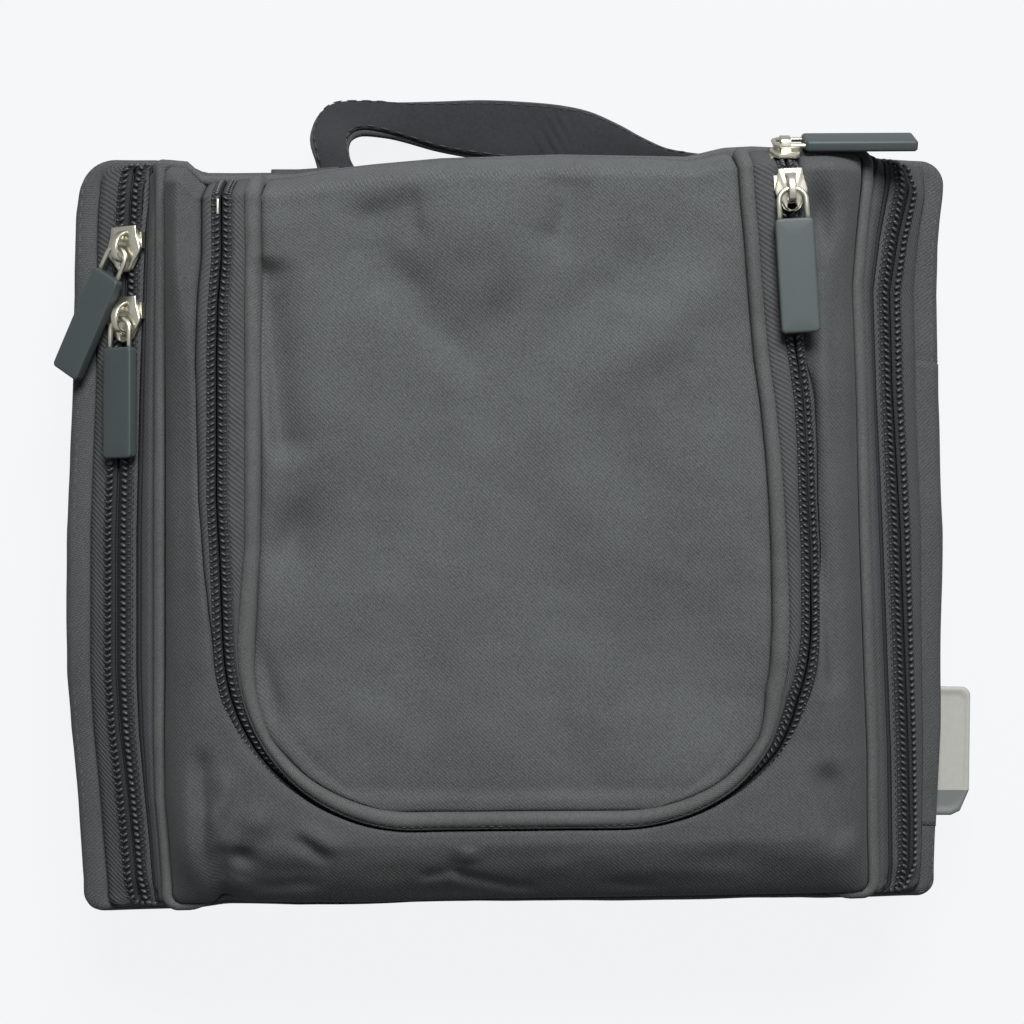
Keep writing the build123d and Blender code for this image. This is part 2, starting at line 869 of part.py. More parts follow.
top_pocket_place = Plane(
    origin=(pocket_right(edge_y), edge_y, edge_z), x_dir=edge_up.cross(edge_out), z_dir=edge_out
)

with BuildPart() as pocket_slider_lower:
    add(slider_body(lower_pocket_place, leg_fit))
pocket_slider_lower.part.label = "pocket_slider_lower"

with BuildPart() as pocket_slider_top:
    add(slider_body(top_pocket_place, edge_fit))
pocket_slider_top.part.label = "pocket_slider_top"

lower_pocket_pull = hanging_pull(lower_pocket_place, leg_fit, 0, 0)

# The top pull lies sideways along the edge, with its wire round the crown's rear leg
crown_leg = crown_back_share * pocket_slider_length / 2
sideways = wire_radius + wire_clearance + crown_width / 2
top_pocket_pull = Plane(
    origin=top_pocket_place.from_local_coords(
        (sideways, top_pull_shift - wire_half_width, wire_height(edge_fit))
    ),
    x_dir=-top_pocket_place.y_dir,
    z_dir=top_pocket_place.z_dir,
)

with BuildPart() as pocket_wire_lower:
    add(pull_wire(lower_pocket_pull))
pocket_wire_lower.part.label = "pocket_wire_lower"

with BuildPart() as pocket_tab_lower:
    add(pull_tab(lower_pocket_pull))
pocket_tab_lower.part.label = "pocket_tab_lower"

with BuildPart() as pocket_wire_top:
    add(pull_wire(top_pocket_pull))
pocket_wire_top.part.label = "pocket_wire_top"

with BuildPart() as pocket_tab_top:
    add(pull_tab(top_pocket_pull))
pocket_tab_top.part.label = "pocket_tab_top"

PIECES = [
    back_panel,
    rear_piping,
    rear_gusset,
    back_board,
    rear_lining,
    rear_zip_tape,
    rear_zip_coil,
    rear_hinge_panel,
    side_pocket,
    side_pocket_hem,
    side_tag,
    handle_anchor_left,
    handle_anchor_right,
    mesh_pocket,
    mesh_pocket_binding,
    elastic_loops,
    front_zip_coil,
    front_zip_tape,
    front_hinge_panel,
    front_piping,
    front_panel,
    pocket_tape_outer,
    pocket_coil_outer,
    divider_panel,
    divider_pocket,
    divider_pocket_binding,
    organiser_pocket,
    organiser_binding,
    flap_panel,
    flap_piping,
    pocket_tape_inner,
    pocket_coil_inner,
    flap_lining,
    handle_strap,
    handle_pad,
    main_slider_upper,
    main_slider_lower,
    pocket_slider_lower,
    pocket_slider_top,
    main_wire_upper,
    main_tab_upper,
    main_wire_lower,
    main_tab_lower,
    pocket_wire_lower,
    pocket_tab_lower,
    pocket_wire_top,
    pocket_tab_top,
]

os.makedirs("parts", exist_ok=True)
for piece in PIECES:
    export_step(piece.part, f"parts/{piece.part.label}.step")


def report_axis(name, point, axis):
    """Print a joint's place and axis, for whoever writes the moving parts down."""
    print(f"{name}: at {tuple(round(v, 3) for v in point)} along {tuple(round(v, 5) for v in axis)}")


lid_axis_y = -half_height - lid_axis_clearance
flap_axis_y = base_top + flap_axis_clearance
crown_leg_point = top_pocket_place.from_local_coords((0, -crown_leg, 0))
report_axis("lid_swing", (0, lid_axis_y, split_height - lid_axis_drop), (1, 0, 0))
report_axis("flap_swing", (0, flap_axis_y, pocket_base_height - flap_axis_drop), (-1, 0, 0))
report_axis("handle_swing", (0, handle_axis_y, handle_height), (1, 0, 0))
report_axis("main_slider_upper", upper_main_place.origin, upper_main_place.y_dir)
report_axis("main_slider_lower", lower_main_place.origin, -lower_main_place.y_dir)
report_axis("pocket_slider_lower", lower_pocket_place.origin, -lower_pocket_place.y_dir)
report_axis("pocket_slider_top", top_pocket_place.origin, top_pocket_place.y_dir)
report_axis("main_pull_upper", upper_main_pull.origin, -upper_main_pull.x_dir)
report_axis("main_pull_lower", lower_main_pull.origin, -lower_main_pull.x_dir)
report_axis("pocket_pull_lower", lower_pocket_pull.origin, -lower_pocket_pull.x_dir)
report_axis("pocket_pull_top", crown_leg_point, -top_pocket_place.z_dir)
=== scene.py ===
"""Toiletry bag: its cloth, zips, pulls and inside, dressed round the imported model.

The bag lies on its back. +X is to its right, +Y towards its handle and +Z out of its front.
Sizes are in millimetres. Each mesh is turned into metres when it is made. TRAY_SEAM and LID_SEAM are the heights
of the seams below and above the main zip.
"""
import logging
import math
from dataclasses import dataclass, field
from enum import Enum
from typing import Optional, Sequence

import bmesh
import bpy
import numpy as np
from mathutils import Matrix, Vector


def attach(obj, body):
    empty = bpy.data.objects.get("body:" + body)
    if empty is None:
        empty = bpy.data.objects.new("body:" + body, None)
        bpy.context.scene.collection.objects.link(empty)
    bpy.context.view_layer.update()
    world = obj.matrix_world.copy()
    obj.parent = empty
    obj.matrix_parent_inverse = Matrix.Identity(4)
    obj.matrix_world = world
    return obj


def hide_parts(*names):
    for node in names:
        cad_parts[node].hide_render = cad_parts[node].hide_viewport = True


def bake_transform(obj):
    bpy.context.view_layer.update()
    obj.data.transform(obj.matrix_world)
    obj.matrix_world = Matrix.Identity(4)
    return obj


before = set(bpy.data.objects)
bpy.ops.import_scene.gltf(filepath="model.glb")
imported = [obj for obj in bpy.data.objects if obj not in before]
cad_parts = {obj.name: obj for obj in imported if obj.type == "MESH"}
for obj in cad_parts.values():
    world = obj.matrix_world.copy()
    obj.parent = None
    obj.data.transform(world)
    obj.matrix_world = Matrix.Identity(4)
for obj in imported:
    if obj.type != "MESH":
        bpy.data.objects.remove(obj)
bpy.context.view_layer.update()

log = logging.getLogger("toiletry_bag")

Array = np.ndarray
MM = 0.001
TRAY = "rear_tray"
LID = "lid"
FLAP = "flap"
HANDLE = "handle"
TRAY_SEAM = 43.0
LID_SEAM = 55.0


class Noise:
    """Smooth gradient noise with a fixed seed, for folds and dents in cloth."""

    def __init__(self, seed: int) -> None:
        """Draw the noise's table.

        Args:
            seed: Number that fixes the pattern.
        """
        draw = np.random.default_rng(seed)
        self.order = draw.permutation(256)
        directions = draw.normal(size=(256, 3))
        self.directions = directions / np.linalg.norm(directions, axis=1)[:, None]

    def at(self, points: Array, size: float) -> Array:
        """Sample the noise.

        Args:
            points: Places, any shape ending in 3.
            size: Width of one bump.

        Returns:
            Values from about -1 to 1, one for each place.
        """
        flat = points.reshape(-1, 3) / size
        cell = np.floor(flat).astype(int)
        part = flat - cell
        fade = part**3 * (part * (part * 6 - 15) + 10)
        total = np.zeros(len(flat))
        for corner in np.ndindex(2, 2, 2):
            step = np.array(corner)
            index = self.order[(cell[:, 0] + step[0]) % 256]
            index = self.order[(index + cell[:, 1] + step[1]) % 256]
            index = self.order[(index + cell[:, 2] + step[2]) % 256]
            slope = np.sum(self.directions[index] * (part - step), axis=1)
            weight = np.prod(np.where(step == 1, fade, 1 - fade), axis=1)
            total += weight * slope
        return (total * 1.6).reshape(points.shape[:-1])


def ramp(value: Array, low: float, high: float) -> Array:
    """Smooth step from 0 at low to 1 at high."""
    part = np.clip((value - low) / (high - low), 0, 1)
    return part * part * (3 - 2 * part)


def unit(vectors: Array) -> Array:
    """Vectors cut to length 1."""
    return vectors / np.maximum(np.linalg.norm(vectors, axis=-1, keepdims=True), 1e-9)


def arc(centre: tuple, radius: float, start: float, sweep: float, count: int) -> list:
    """Points along an arc, from a start angle over a sweep, both in degrees."""
    turns = np.radians(np.linspace(start, start + sweep, count))
    return [(centre[0] + radius * math.cos(turn), centre[1] + radius * math.sin(turn)) for turn in turns]


def run_lengths(path: Array) -> Array:
    """Length from a path's first point to each of its points."""
    return np.concatenate([[0], np.cumsum(np.linalg.norm(np.diff(path, axis=0), axis=1))])


def show(name: str, data: bpy.types.ID) -> bpy.types.Object:
    """Put a mesh, a camera or a light in the scene, at the origin.

    Args:
        name: The object's name.
        data: What it shows.

    Returns:
        The object.
    """
    thing = bpy.data.objects.new(name, data)
    bpy.context.scene.collection.objects.link(thing)
    return thing


@dataclass
class Draft:
    """A mesh being drawn from grids of points, with its cloth coordinates in millimetres."""

    points: list = field(default_factory=list)
    faces: list = field(default_factory=list)
    cloth: list = field(default_factory=list)
    count: int = 0

    def grid(
        self,
        places: Array,
        wrap_rows: bool = False,
        wrap_columns: bool = False,
        flat: Optional[Array] = None,
    ) -> Array:
        """Add a grid of points and the faces between them.

        Args:
            places: Points, rows by columns by 3.
            wrap_rows: Whether the last row joins the first.
            wrap_columns: Whether the last column joins the first.
            flat: Cloth coordinates, rows by columns by 2. They are measured along the grid if left out.

        Returns:
            The points' indices, rows by columns.
        """
        rows, columns = places.shape[:2]
        index = self.count + np.arange(rows * columns).reshape(rows, columns)
        self.points.append(places.reshape(-1, 3))
        self.count += rows * columns
        row_ids = np.arange(rows if wrap_rows else rows - 1)
        column_ids = np.arange(columns if wrap_columns else columns - 1)
        r, c = np.meshgrid(row_ids, column_ids, indexing="ij")
        r2, c2 = (r + 1) % rows, (c + 1) % columns
        quads = np.stack([index[r, c], index[r, c2], index[r2, c2], index[r2, c]], axis=-1)
        self.faces.extend(quads.reshape(-1, 4).tolist())
        if flat is None:
            across = np.linalg.norm(np.roll(places, -1, axis=1) - places, axis=2).mean(axis=0)
            along = np.linalg.norm(np.roll(places, -1, axis=0) - places, axis=2).mean(axis=1)
            u = np.concatenate([[0], np.cumsum(across)])
            v = np.concatenate([[0], np.cumsum(along)])
            corners = [(u[c], v[r]), (u[c + 1], v[r]), (u[c + 1], v[r + 1]), (u[c], v[r + 1])]
            loops = np.stack([np.stack(pair, axis=-1) for pair in corners], axis=-2)
        else:
            loops = np.stack([flat[r, c], flat[r, c2], flat[r2, c2], flat[r2, c]], axis=-2)
        self.cloth.append(loops.reshape(-1, 2))
        return index

    def cap(self, ring: Array) -> None:
        """Close a ring of points, given by their indices, with one face."""
        self.faces.append([int(i) for i in ring])
        self.cloth.append(np.zeros((len(ring), 2)))

    def bar(self, rows: Sequence[Array]) -> "Draft":
        """Add a closed section carried along a line.

        Args:
            rows: Lines of points, in order round the section.

        Returns:
            The draft.
        """
        index = self.grid(np.stack(rows), wrap_rows=True)
        self.cap(index[:, 0])
        self.cap(index[:, -1])
        return self

    def slab(self, front: Sequence[Array], back: Sequence[Array], flat: Optional[Array] = None) -> "Draft":
        """Add a sheet with a front, a back and closed edges.

        Args:
            front: Rows of points of the front.
            back: Rows of points of the back, in the same order.
            flat: Cloth coordinates of both sides.

        Returns:
            The draft.
        """
        top = self.grid(np.stack(front), flat=flat)
        low = self.grid(np.stack(back), flat=flat)
        borders = [
            (top[0], low[0]),
            (top[-1], low[-1]),
            (top[:, 0], low[:, 0]),
            (top[:, -1], low[:, -1]),
        ]
        for upper, lower in borders:
            for i in range(len(upper) - 1):
                quad = [int(upper[i]), int(upper[i + 1]), int(lower[i + 1]), int(lower[i])]
                self.faces.append(quad)
                self.cloth.append(np.array([[i, 0], [i + 1, 0], [i + 1, 1], [i, 1]], float))
        return self

    def rings(self, loops: Sequence[Array], flat: bool = False, wrap: bool = False) -> "Draft":
        """Join closed loops of points in order, and close both ends unless they wrap.

        Args:
            loops: Closed loops with as many points each.
            flat: Whether cloth coordinates are the points' X and Y.
            wrap: Whether the last loop joins the first.

        Returns:
            The draft.
        """
        places = np.stack(loops)
        coordinates = places[..., :2] if flat else None
        index = self.grid(places, wrap_rows=wrap, wrap_columns=True, flat=coordinates)
        if not wrap:
            self.cap(index[0])
            self.cap(index[-1])
        return self

    def build(self, name: str) -> bpy.types.Object:
        """Turn the draft into a smooth mesh object.

        Args:
            name: The object's name.

        Returns:
            The object, at the origin.
        """
        places = np.concatenate(self.points) * MM
        mesh = bpy.data.meshes.new(name)
        mesh.from_pydata(places.tolist(), [], self.faces)
        layer = mesh.uv_layers.new(name="Cloth")
        layer.data.foreach_set("uv", np.concatenate(self.cloth).astype(np.float32).ravel())
        work = bmesh.new()
        work.from_mesh(mesh)
        bmesh.ops.remove_doubles(work, verts=work.verts, dist=1e-7)
        bmesh.ops.recalc_face_normals(work, faces=work.faces)
        work.to_mesh(mesh)
        work.free()
        mesh.polygons.foreach_set("use_smooth", [True] * len(mesh.polygons))
        return show(name, mesh)


# Finishes


def add_node(tree: bpy.types.NodeTree, kind: str, **inputs: object) -> bpy.types.Node:
    """Add a node and set some of its inputs.

    Args:
        tree: The node tree.
        kind: The node's type.
        inputs: Values by the inputs' names, with underscores for spaces.

    Returns:
        The node.
    """
    node = tree.nodes.new(kind)
    for label, value in inputs.items():
        node.inputs[label.replace("_", " ")].default_value = value
    return node


class Finish:
    """What every finish does: its colour is lighter and darker by a pattern, and a pattern gives it relief."""

    def start(self) -> tuple:
        """A new material, its node tree and its shader."""
        material = bpy.data.materials.new(self.name)
        material.use_nodes = True
        return material, material.node_tree, material.node_tree.nodes["Principled BSDF"]

    def paint(self, tree: bpy.types.NodeTree, pattern: bpy.types.NodeSocket, low: float, high: float) -> None:
        """Set the shader's colour.

        Args:
            tree: The material's node tree.
            pattern: The pattern.
            low: The pattern's value where the colour is darkest.
            high: The pattern's value where it is lightest.
        """
        shade = add_node(tree, "ShaderNodeMapRange", From_Min=low, From_Max=high)
        shade.inputs["To Min"].default_value = 1 - self.contrast
        shade.inputs["To Max"].default_value = 1 + self.contrast
        tree.links.new(pattern, shade.inputs["Value"])
        tint = tree.nodes.new("ShaderNodeMix")
        tint.data_type = "RGBA"
        tint.blend_type = "MULTIPLY"
        tint.inputs["Factor"].default_value = 1
        tint.inputs["A"].default_value = (*self.colour, 1)
        tree.links.new(shade.outputs["Result"], tint.inputs["B"])
        tree.links.new(tint.outputs["Result"], tree.nodes["Principled BSDF"].inputs["Base Color"])

    def emboss(self, tree: bpy.types.NodeTree, pattern: bpy.types.NodeSocket, strength: float) -> None:
        """Raise the surface by a pattern.

        Args:
            tree: The material's node tree.
            pattern: The pattern.
            strength: How strongly it shows.
        """
        bump = add_node(tree, "ShaderNodeBump", Strength=strength, Distance=self.relief * MM)
        tree.links.new(pattern, bump.inputs["Height"])
        tree.links.new(bump.outputs["Normal"], tree.nodes["Principled BSDF"].inputs["Normal"])


class Weave(Enum):
    """How a cloth is woven or finished."""

    TWILL = "twill"
    HERRINGBONE = "herringbone"
    PLAIN = "plain"
    FELT = "felt"
    NET = "net"


@dataclass(frozen=True)
class ClothFinish(Finish):
    """A cloth: its weave, colour, thread pitch in millimetres and how rough it looks."""

    name: str
    weave: Weave
    colour: tuple
    pitch: float = 0.8
    contrast: float = 0.3
    relief: float = 0.12
    roughness: float = 0.85
    sheen: float = 0.03

    def _wave(self, tree: bpy.types.NodeTree, turn: float, pitch: float, wobble: float) -> bpy.types.NodeSocket:
        """A pattern of threads in one direction.

        Args:
            tree: The material's node tree.
            turn: Direction in degrees.
            pitch: Distance between threads in millimetres.
            wobble: How unevenly the threads run.

        Returns:
            The socket with the pattern's height.
        """
        where = tree.nodes.new("ShaderNodeUVMap")
        where.uv_map = "Cloth"
        place = add_node(tree, "ShaderNodeMapping", Rotation=(0, 0, math.radians(turn)))
        scale = 1 / (pitch * 3.18)
        wave = add_node(tree, "ShaderNodeTexWave", Scale=scale, Distortion=wobble, Detail=2, Detail_Scale=1.5)
        tree.links.new(where.outputs["UV"], place.inputs["Vector"])
        tree.links.new(place.outputs["Vector"], wave.inputs["Vector"])
        return wave.outputs["Fac"]

    def _join(
        self, tree: bpy.types.NodeTree, how: str, first: bpy.types.NodeSocket, second: bpy.types.NodeSocket
    ) -> bpy.types.NodeSocket:
        """Join two patterns with a sum.

        Args:
            tree: The material's node tree.
            how: Name of the sum.
            first: First pattern.
            second: Second pattern.

        Returns:
            The socket with the result.
        """
        sum_node = tree.nodes.new("ShaderNodeMath")
        sum_node.operation = how
        tree.links.new(first, sum_node.inputs[0])
        tree.links.new(second, sum_node.inputs[1])
        return sum_node.outputs[0]

    def _threads(self, tree: bpy.types.NodeTree) -> bpy.types.NodeSocket:
        """The weave's own pattern.

        Args:
            tree: The material's node tree.

        Returns:
            The socket with the threads' height.
        """
        if self.weave is Weave.TWILL:
            ribs = self._wave(tree, -45, self.pitch, 1.6)
            yarns = self._wave(tree, 28, self.pitch * 0.7, 2.5)
            return self._join(tree, "MULTIPLY", ribs, yarns)
        if self.weave is Weave.HERRINGBONE:
            return self._wave(tree, 52, self.pitch, 0.5)
        if self.weave is Weave.PLAIN:
            across, along = self._wave(tree, 0, self.pitch, 1.2), self._wave(tree, 90, self.pitch, 1.2)
            return self._join(tree, "MULTIPLY", across, along)
        if self.weave is Weave.NET:
            across, along = self._wave(tree, 45, self.pitch, 0.1), self._wave(tree, -45, self.pitch, 0.1)
            return self._join(tree, "MAXIMUM", across, along)
        return self._speckle(tree, 700, 4)

    def _speckle(self, tree: bpy.types.NodeTree, scale: float, detail: float) -> bpy.types.NodeSocket:
        """Uneven spots, in the object's own space.

        Args:
            tree: The material's node tree.
            scale: How fine the spots are.
            detail: How many finer layers they have.

        Returns:
            The socket with the spots.
        """
        place = tree.nodes.new("ShaderNodeTexCoord")
        spots = add_node(tree, "ShaderNodeTexNoise", Scale=scale, Detail=detail, Roughness=0.65)
        tree.links.new(place.outputs["Object"], spots.inputs["Vector"])
        return spots.outputs["Fac"]

    def build(self) -> bpy.types.Material:
        """Make the material.

        Returns:
            The finished cloth.
        """
        material, tree, shader = self.start()
        shader.inputs["Roughness"].default_value = self.roughness
        shader.inputs["Sheen Weight"].default_value = self.sheen
        shader.inputs["Sheen Roughness"].default_value = 0.5
        shader.inputs["Specular IOR Level"].default_value = 0.25
        threads = self._threads(tree)
        mixed = threads
        for scale, detail in ((1500, 1), (2700, 0), (45, 4)):
            mixed = self._join(tree, "ADD", mixed, self._speckle(tree, scale, detail))
        self.paint(tree, mixed, 0.9, 2.5)
        self.emboss(tree, threads, 0.6)
        return material


@dataclass(frozen=True)
class SolidFinish(Finish):
    """A moulded or plated surface with fine grain and small changes of shade."""

    name: str
    colour: tuple
    roughness: float = 0.5
    metallic: float = 0.0
    grain: float = 300.0
    relief: float = 0.02
    contrast: float = 0.08
    specular: float = 0.5

    def build(self) -> bpy.types.Material:
        """Make the material.

        Returns:
            The finished surface.
        """
        material, tree, shader = self.start()
        shader.inputs["Metallic"].default_value = self.metallic
        shader.inputs["Specular IOR Level"].default_value = self.specular
        place = tree.nodes.new("ShaderNodeTexCoord")
        noise = add_node(tree, "ShaderNodeTexNoise", Scale=self.grain, Detail=4)
        tree.links.new(place.outputs["Object"], noise.inputs["Vector"])
        self.paint(tree, noise.outputs["Fac"], 0, 1)
        low, high = self.roughness - 0.06, self.roughness + 0.06
        rough = add_node(tree, "ShaderNodeMapRange", To_Min=low, To_Max=high)
        tree.links.new(noise.outputs["Fac"], rough.inputs["Value"])
        tree.links.new(rough.outputs["Result"], shader.inputs["Roughness"])
        self.emboss(tree, noise.outputs["Fac"], 0.5)
        return material


@dataclass(frozen=True)
class TwoToneFinish:
    """The side tag's moulded rubber: pale, with a dark end below a height up the bag."""

    name: str
    pale: tuple
    dark: tuple
    border: float

    def build(self) -> bpy.types.Material:
        """Make the material.

        Returns:
            The finished rubber.
        """
        material = SolidFinish(self.name, self.pale, roughness=0.6, grain=500, relief=0.03).build()
        nodes, links = material.node_tree.nodes, material.node_tree.links
        place = nodes.new("ShaderNodeTexCoord")
        split = nodes.new("ShaderNodeSeparateXYZ")
        links.new(place.outputs["Object"], split.inputs["Vector"])
        above = nodes.new("ShaderNodeMath")
        above.operation = "GREATER_THAN"
        above.inputs[1].default_value = self.border * MM
        links.new(split.outputs["Y"], above.inputs[0])
        tone = nodes.new("ShaderNodeMix")
        tone.data_type = "RGBA"
        tone.inputs["A"].default_value = (*self.dark, 1)
        shader = nodes["Principled BSDF"]
        before = shader.inputs["Base Color"].links[0].from_socket
        links.new(before, tone.inputs["B"])
        links.new(above.outputs["Value"], tone.inputs["Factor"])
        links.new(tone.outputs["Result"], shader.inputs["Base Color"])
        return material


class Wardrobe:
    """Every finish on the bag, made once."""

    def __init__(self) -> None:
        """Make the finishes."""
        # The shell is the flap's twill painted about a fifth darker: painted shade for the dimmer light on the slopes
        # and sides round the flap.
        self.shell = ClothFinish("grey_twill_painted_shade", Weave.TWILL, (0.0615, 0.0657, 0.0662), 0.8, 0.46, 0.14).build()
        self.flap = ClothFinish("flap_twill", Weave.TWILL, (0.077, 0.0825, 0.082), 0.8, 0.46, 0.14).build()
        self.piping = ClothFinish("grey_piping", Weave.TWILL, (0.08, 0.0845, 0.084), 0.7, 0.42, 0.12).build()
        self.tape = ClothFinish("woven_tape", Weave.HERRINGBONE, (0.05, 0.053, 0.054), 0.85, 0.4, 0.2).build()
        # The zip bed's black cloth. It also colours the two dark seam strips, which are painted shade.
        self.coil = ClothFinish("zip_bed", Weave.PLAIN, (0.016, 0.0165, 0.0175), 0.9, 0.4, 0.1, 0.75, 0.0).build()
        self.beads = SolidFinish("black_nylon", (0.045, 0.047, 0.05), 0.42).build()
        self.lining = ClothFinish("lining_cloth", Weave.PLAIN, (0.04, 0.044, 0.048), 0.5, 0.2, 0.04, 0.6, 0.1).build()
        self.net = ClothFinish("fine_net", Weave.NET, (0.026, 0.026, 0.03), 1.8, 0.75, 0.3, 0.7, 0.1).build()
        self.binding = ClothFinish("binding_tape", Weave.PLAIN, (0.05, 0.053, 0.056), 0.8, 0.3, 0.1).build()
        self.board = SolidFinish("pale_board", (0.7, 0.7, 0.68), 0.55).build()
        self.strap = ClothFinish("strap_web", Weave.TWILL, (0.052, 0.055, 0.054), 0.8, 0.4, 0.12).build()
        self.felt = ClothFinish("dark_felt", Weave.FELT, (0.02, 0.021, 0.023), 1.6, 0.4, 0.15, 0.95, 0.06).build()
        self.thread = ClothFinish("sewing_thread", Weave.PLAIN, (0.1, 0.104, 0.104), 0.3, 0.2, 0.05).build()
        self.metal = SolidFinish("pale_nickel", (0.56, 0.54, 0.45), 0.36, 1.0, 260, 0.02, 0.12).build()
        self.rubber = SolidFinish("grey_rubber", (0.05, 0.062, 0.062), 0.5, 0.0, 900, 0.02, 0.08, 0.35).build()
        self.tag = TwoToneFinish("tag_rubber", (0.36, 0.36, 0.335), (0.12, 0.135, 0.13), -72.5).build()


def dress(
    piece: bpy.types.Object, material: bpy.types.Material, body: str, slot: str, *nodes: str
) -> bpy.types.Object:
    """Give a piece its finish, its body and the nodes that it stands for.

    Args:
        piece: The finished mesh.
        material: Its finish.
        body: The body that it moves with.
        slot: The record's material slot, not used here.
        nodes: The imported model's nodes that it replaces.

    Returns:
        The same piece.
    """
    piece.data.materials.clear()
    piece.data.materials.append(material)
    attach(piece, body)
    if nodes:
        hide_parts(*nodes)
    log.info("%s: %d faces on %s", piece.name, len(piece.data.polygons), body)
    return piece


@dataclass(frozen=True)
class Bend:
    """The zone between two bodies that a piece of cloth spans, with its two ends in metres."""

    fixed: str
    moving: str
    start: tuple
    end: tuple

    def sew(self, piece: bpy.types.Object, material: bpy.types.Material, slot: str, *nodes: str) -> None:
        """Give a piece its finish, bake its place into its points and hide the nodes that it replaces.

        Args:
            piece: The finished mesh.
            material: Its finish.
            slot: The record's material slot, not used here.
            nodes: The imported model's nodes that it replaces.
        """
        piece.data.materials.clear()
        piece.data.materials.append(material)
        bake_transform(piece)
        if nodes:
            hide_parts(*nodes)
        log.info("%s: %d faces from %s to %s", piece.name, len(piece.data.polygons), self.fixed, self.moving)


# The bag's form


@dataclass(frozen=True)
class Slump:
    """How the soft bag sags away from its even outline, as shifts at places round it."""

    left_y: tuple = (-95, -83, -72, -55, -39, 0, 40, 72, 95)
    belly_y: tuple = (-95, -82, -75, -68, -55, -39, -20, 0, 20, 36, 50, 65, 79, 88, 97)
    left_belly: tuple = (1, -0.1, -0.9, -1.7, -3.4, -4.2, -4.2, -4.2, -3.5, -2.7, -2.1, -1.4, -1.9, -1.7, -0.2)
    right_belly: tuple = (-6.9, -6.3, -5.8, -5.3, -4.4, -3.9, -3.1, -2.1, -2.7, -3, -2.6, -3.1, -3.4, -3.3, -2.8)
    left_zip: tuple = (2.5, 1.5, 0.2, -2.2, -3.3, -3.3, -2.0, 0.0, 1.4)
    left_front: tuple = (2.0, 1.2, 0.2, 0.0, 0.2, 0.2, 0.2, 0.3, 0.2)
    left_seam: tuple = (-1.5, -1.7, -1.3, -0.9, -1.0, -0.9, -0.7, -2.0, -2.4)
    right_y: tuple = (-95, -83, -60, -39, 0, 39, 65, 80, 94)
    right_zip: tuple = (2.4, 2.5, 2.0, 1.2, -0.3, -2.6, -3.3, -1.0, 2.2)
    right_front: tuple = (0.6, 0.2, 0.2, -0.6, -1.9, -2.8, -3.8, -2.6, -1.2)
    top_x: tuple = (-112, -97, -94, -88.5, -84.5, -60, -52, -38, -20, 12, 46, 56, 64, 72, 85, 100, 112)
    top_belly: tuple = (
        -0.8, -1, -1.4, -2.8, -4.4, -4.4, -3.8, -2.6, -2, -1.4, -1.5, -0.8, -0.6, -0.5, -0.5, -0.8, -1.5,
    )
    top_front: tuple = (
        -1.2, -1.4, -3, -3.5, -7.4, -7, -5.8, -4.2, -2.6, -1.6, -2.2, 0.2, 0.6, 0.2, 0.6, -0.4, -2,
    )
    bottom_x: tuple = (-112, -88, -80, -60, -40, -21, 12, 46, 80, 112)
    bottom: tuple = (-2.1, -1.1, 0.2, -0.7, -0.4, 0.4, 1.0, 1.5, 2.2, 3.4)
    heights: tuple = (0, 36, 43, 49, 55, 58)
    belly_share: tuple = (0.5, 1.0, 0.4, 0.0, 0.0, 0.0)
    zip_share: tuple = (0.0, 0.0, 0.5, 1.0, 0.2, 0.0)
    front_share: tuple = (0.0, 0.0, 0.1, 0.0, 0.8, 1.0)
    seam_share: tuple = (0.0, 0.2, 1.0, 0.3, 0.0, 0.0)
    side_start: float = 55.0
    side_end: float = 90.0
    top_start: float = 58.0
    top_end: float = 97.0

    def apply(self, places: Array) -> Array:
        """Shift points of the even bag to where the soft one has them.

        Args:
            places: Points, any shape ending in 3.

        Returns:
            The shifted points.
        """
        x, y, z = places[..., 0], places[..., 1], places[..., 2]
        belly = np.interp(z, self.heights, self.belly_share)
        zipped = np.interp(z, self.heights, self.zip_share)
        front = np.interp(z, self.heights, self.front_share)
        left = (
            belly * np.interp(y, self.belly_y, self.left_belly)
            + zipped * np.interp(y, self.left_y, self.left_zip)
            + front * np.interp(y, self.left_y, self.left_front)
            + np.interp(z, self.heights, self.seam_share) * np.interp(y, self.left_y, self.left_seam)
        )
        right = (
            belly * np.interp(y, self.belly_y, self.right_belly)
            + zipped * np.interp(y, self.right_y, self.right_zip)
            + front * np.interp(y, self.right_y, self.right_front)
        )
        upper = belly * np.interp(x, self.top_x, self.top_belly)
        upper = upper + (1 - belly) * ramp(z, 36, 43) * np.interp(x, self.top_x, self.top_front)
        sewn = 1 - 0.55 * ramp(z, 42, 46) * ramp(-x, 20, 60)
        lower = np.maximum(belly, ramp(z, 36, 43)) * sewn * np.interp(x, self.bottom_x, self.bottom)
        middle = 1.1 * (1 - ramp(np.abs(x), 80, 90))
        notch = 0.9 + 2.4 * np.exp(-(((x + 79.3) / 2.6) ** 2))
        lower = lower + middle * ramp(z, 38, 45) * (1 - ramp(z, 50, 56)) + notch * ramp(z, 50, 56)
        moved = places.copy()
        moved[..., 0] += left * ramp(-x, self.side_start, self.side_end)
        moved[..., 0] += right * ramp(x, self.side_start, self.side_end)
        moved[..., 1] += upper * ramp(y, self.top_start, self.top_end)
        moved[..., 1] += lower * ramp(-y, self.top_start, self.top_end)
        return moved


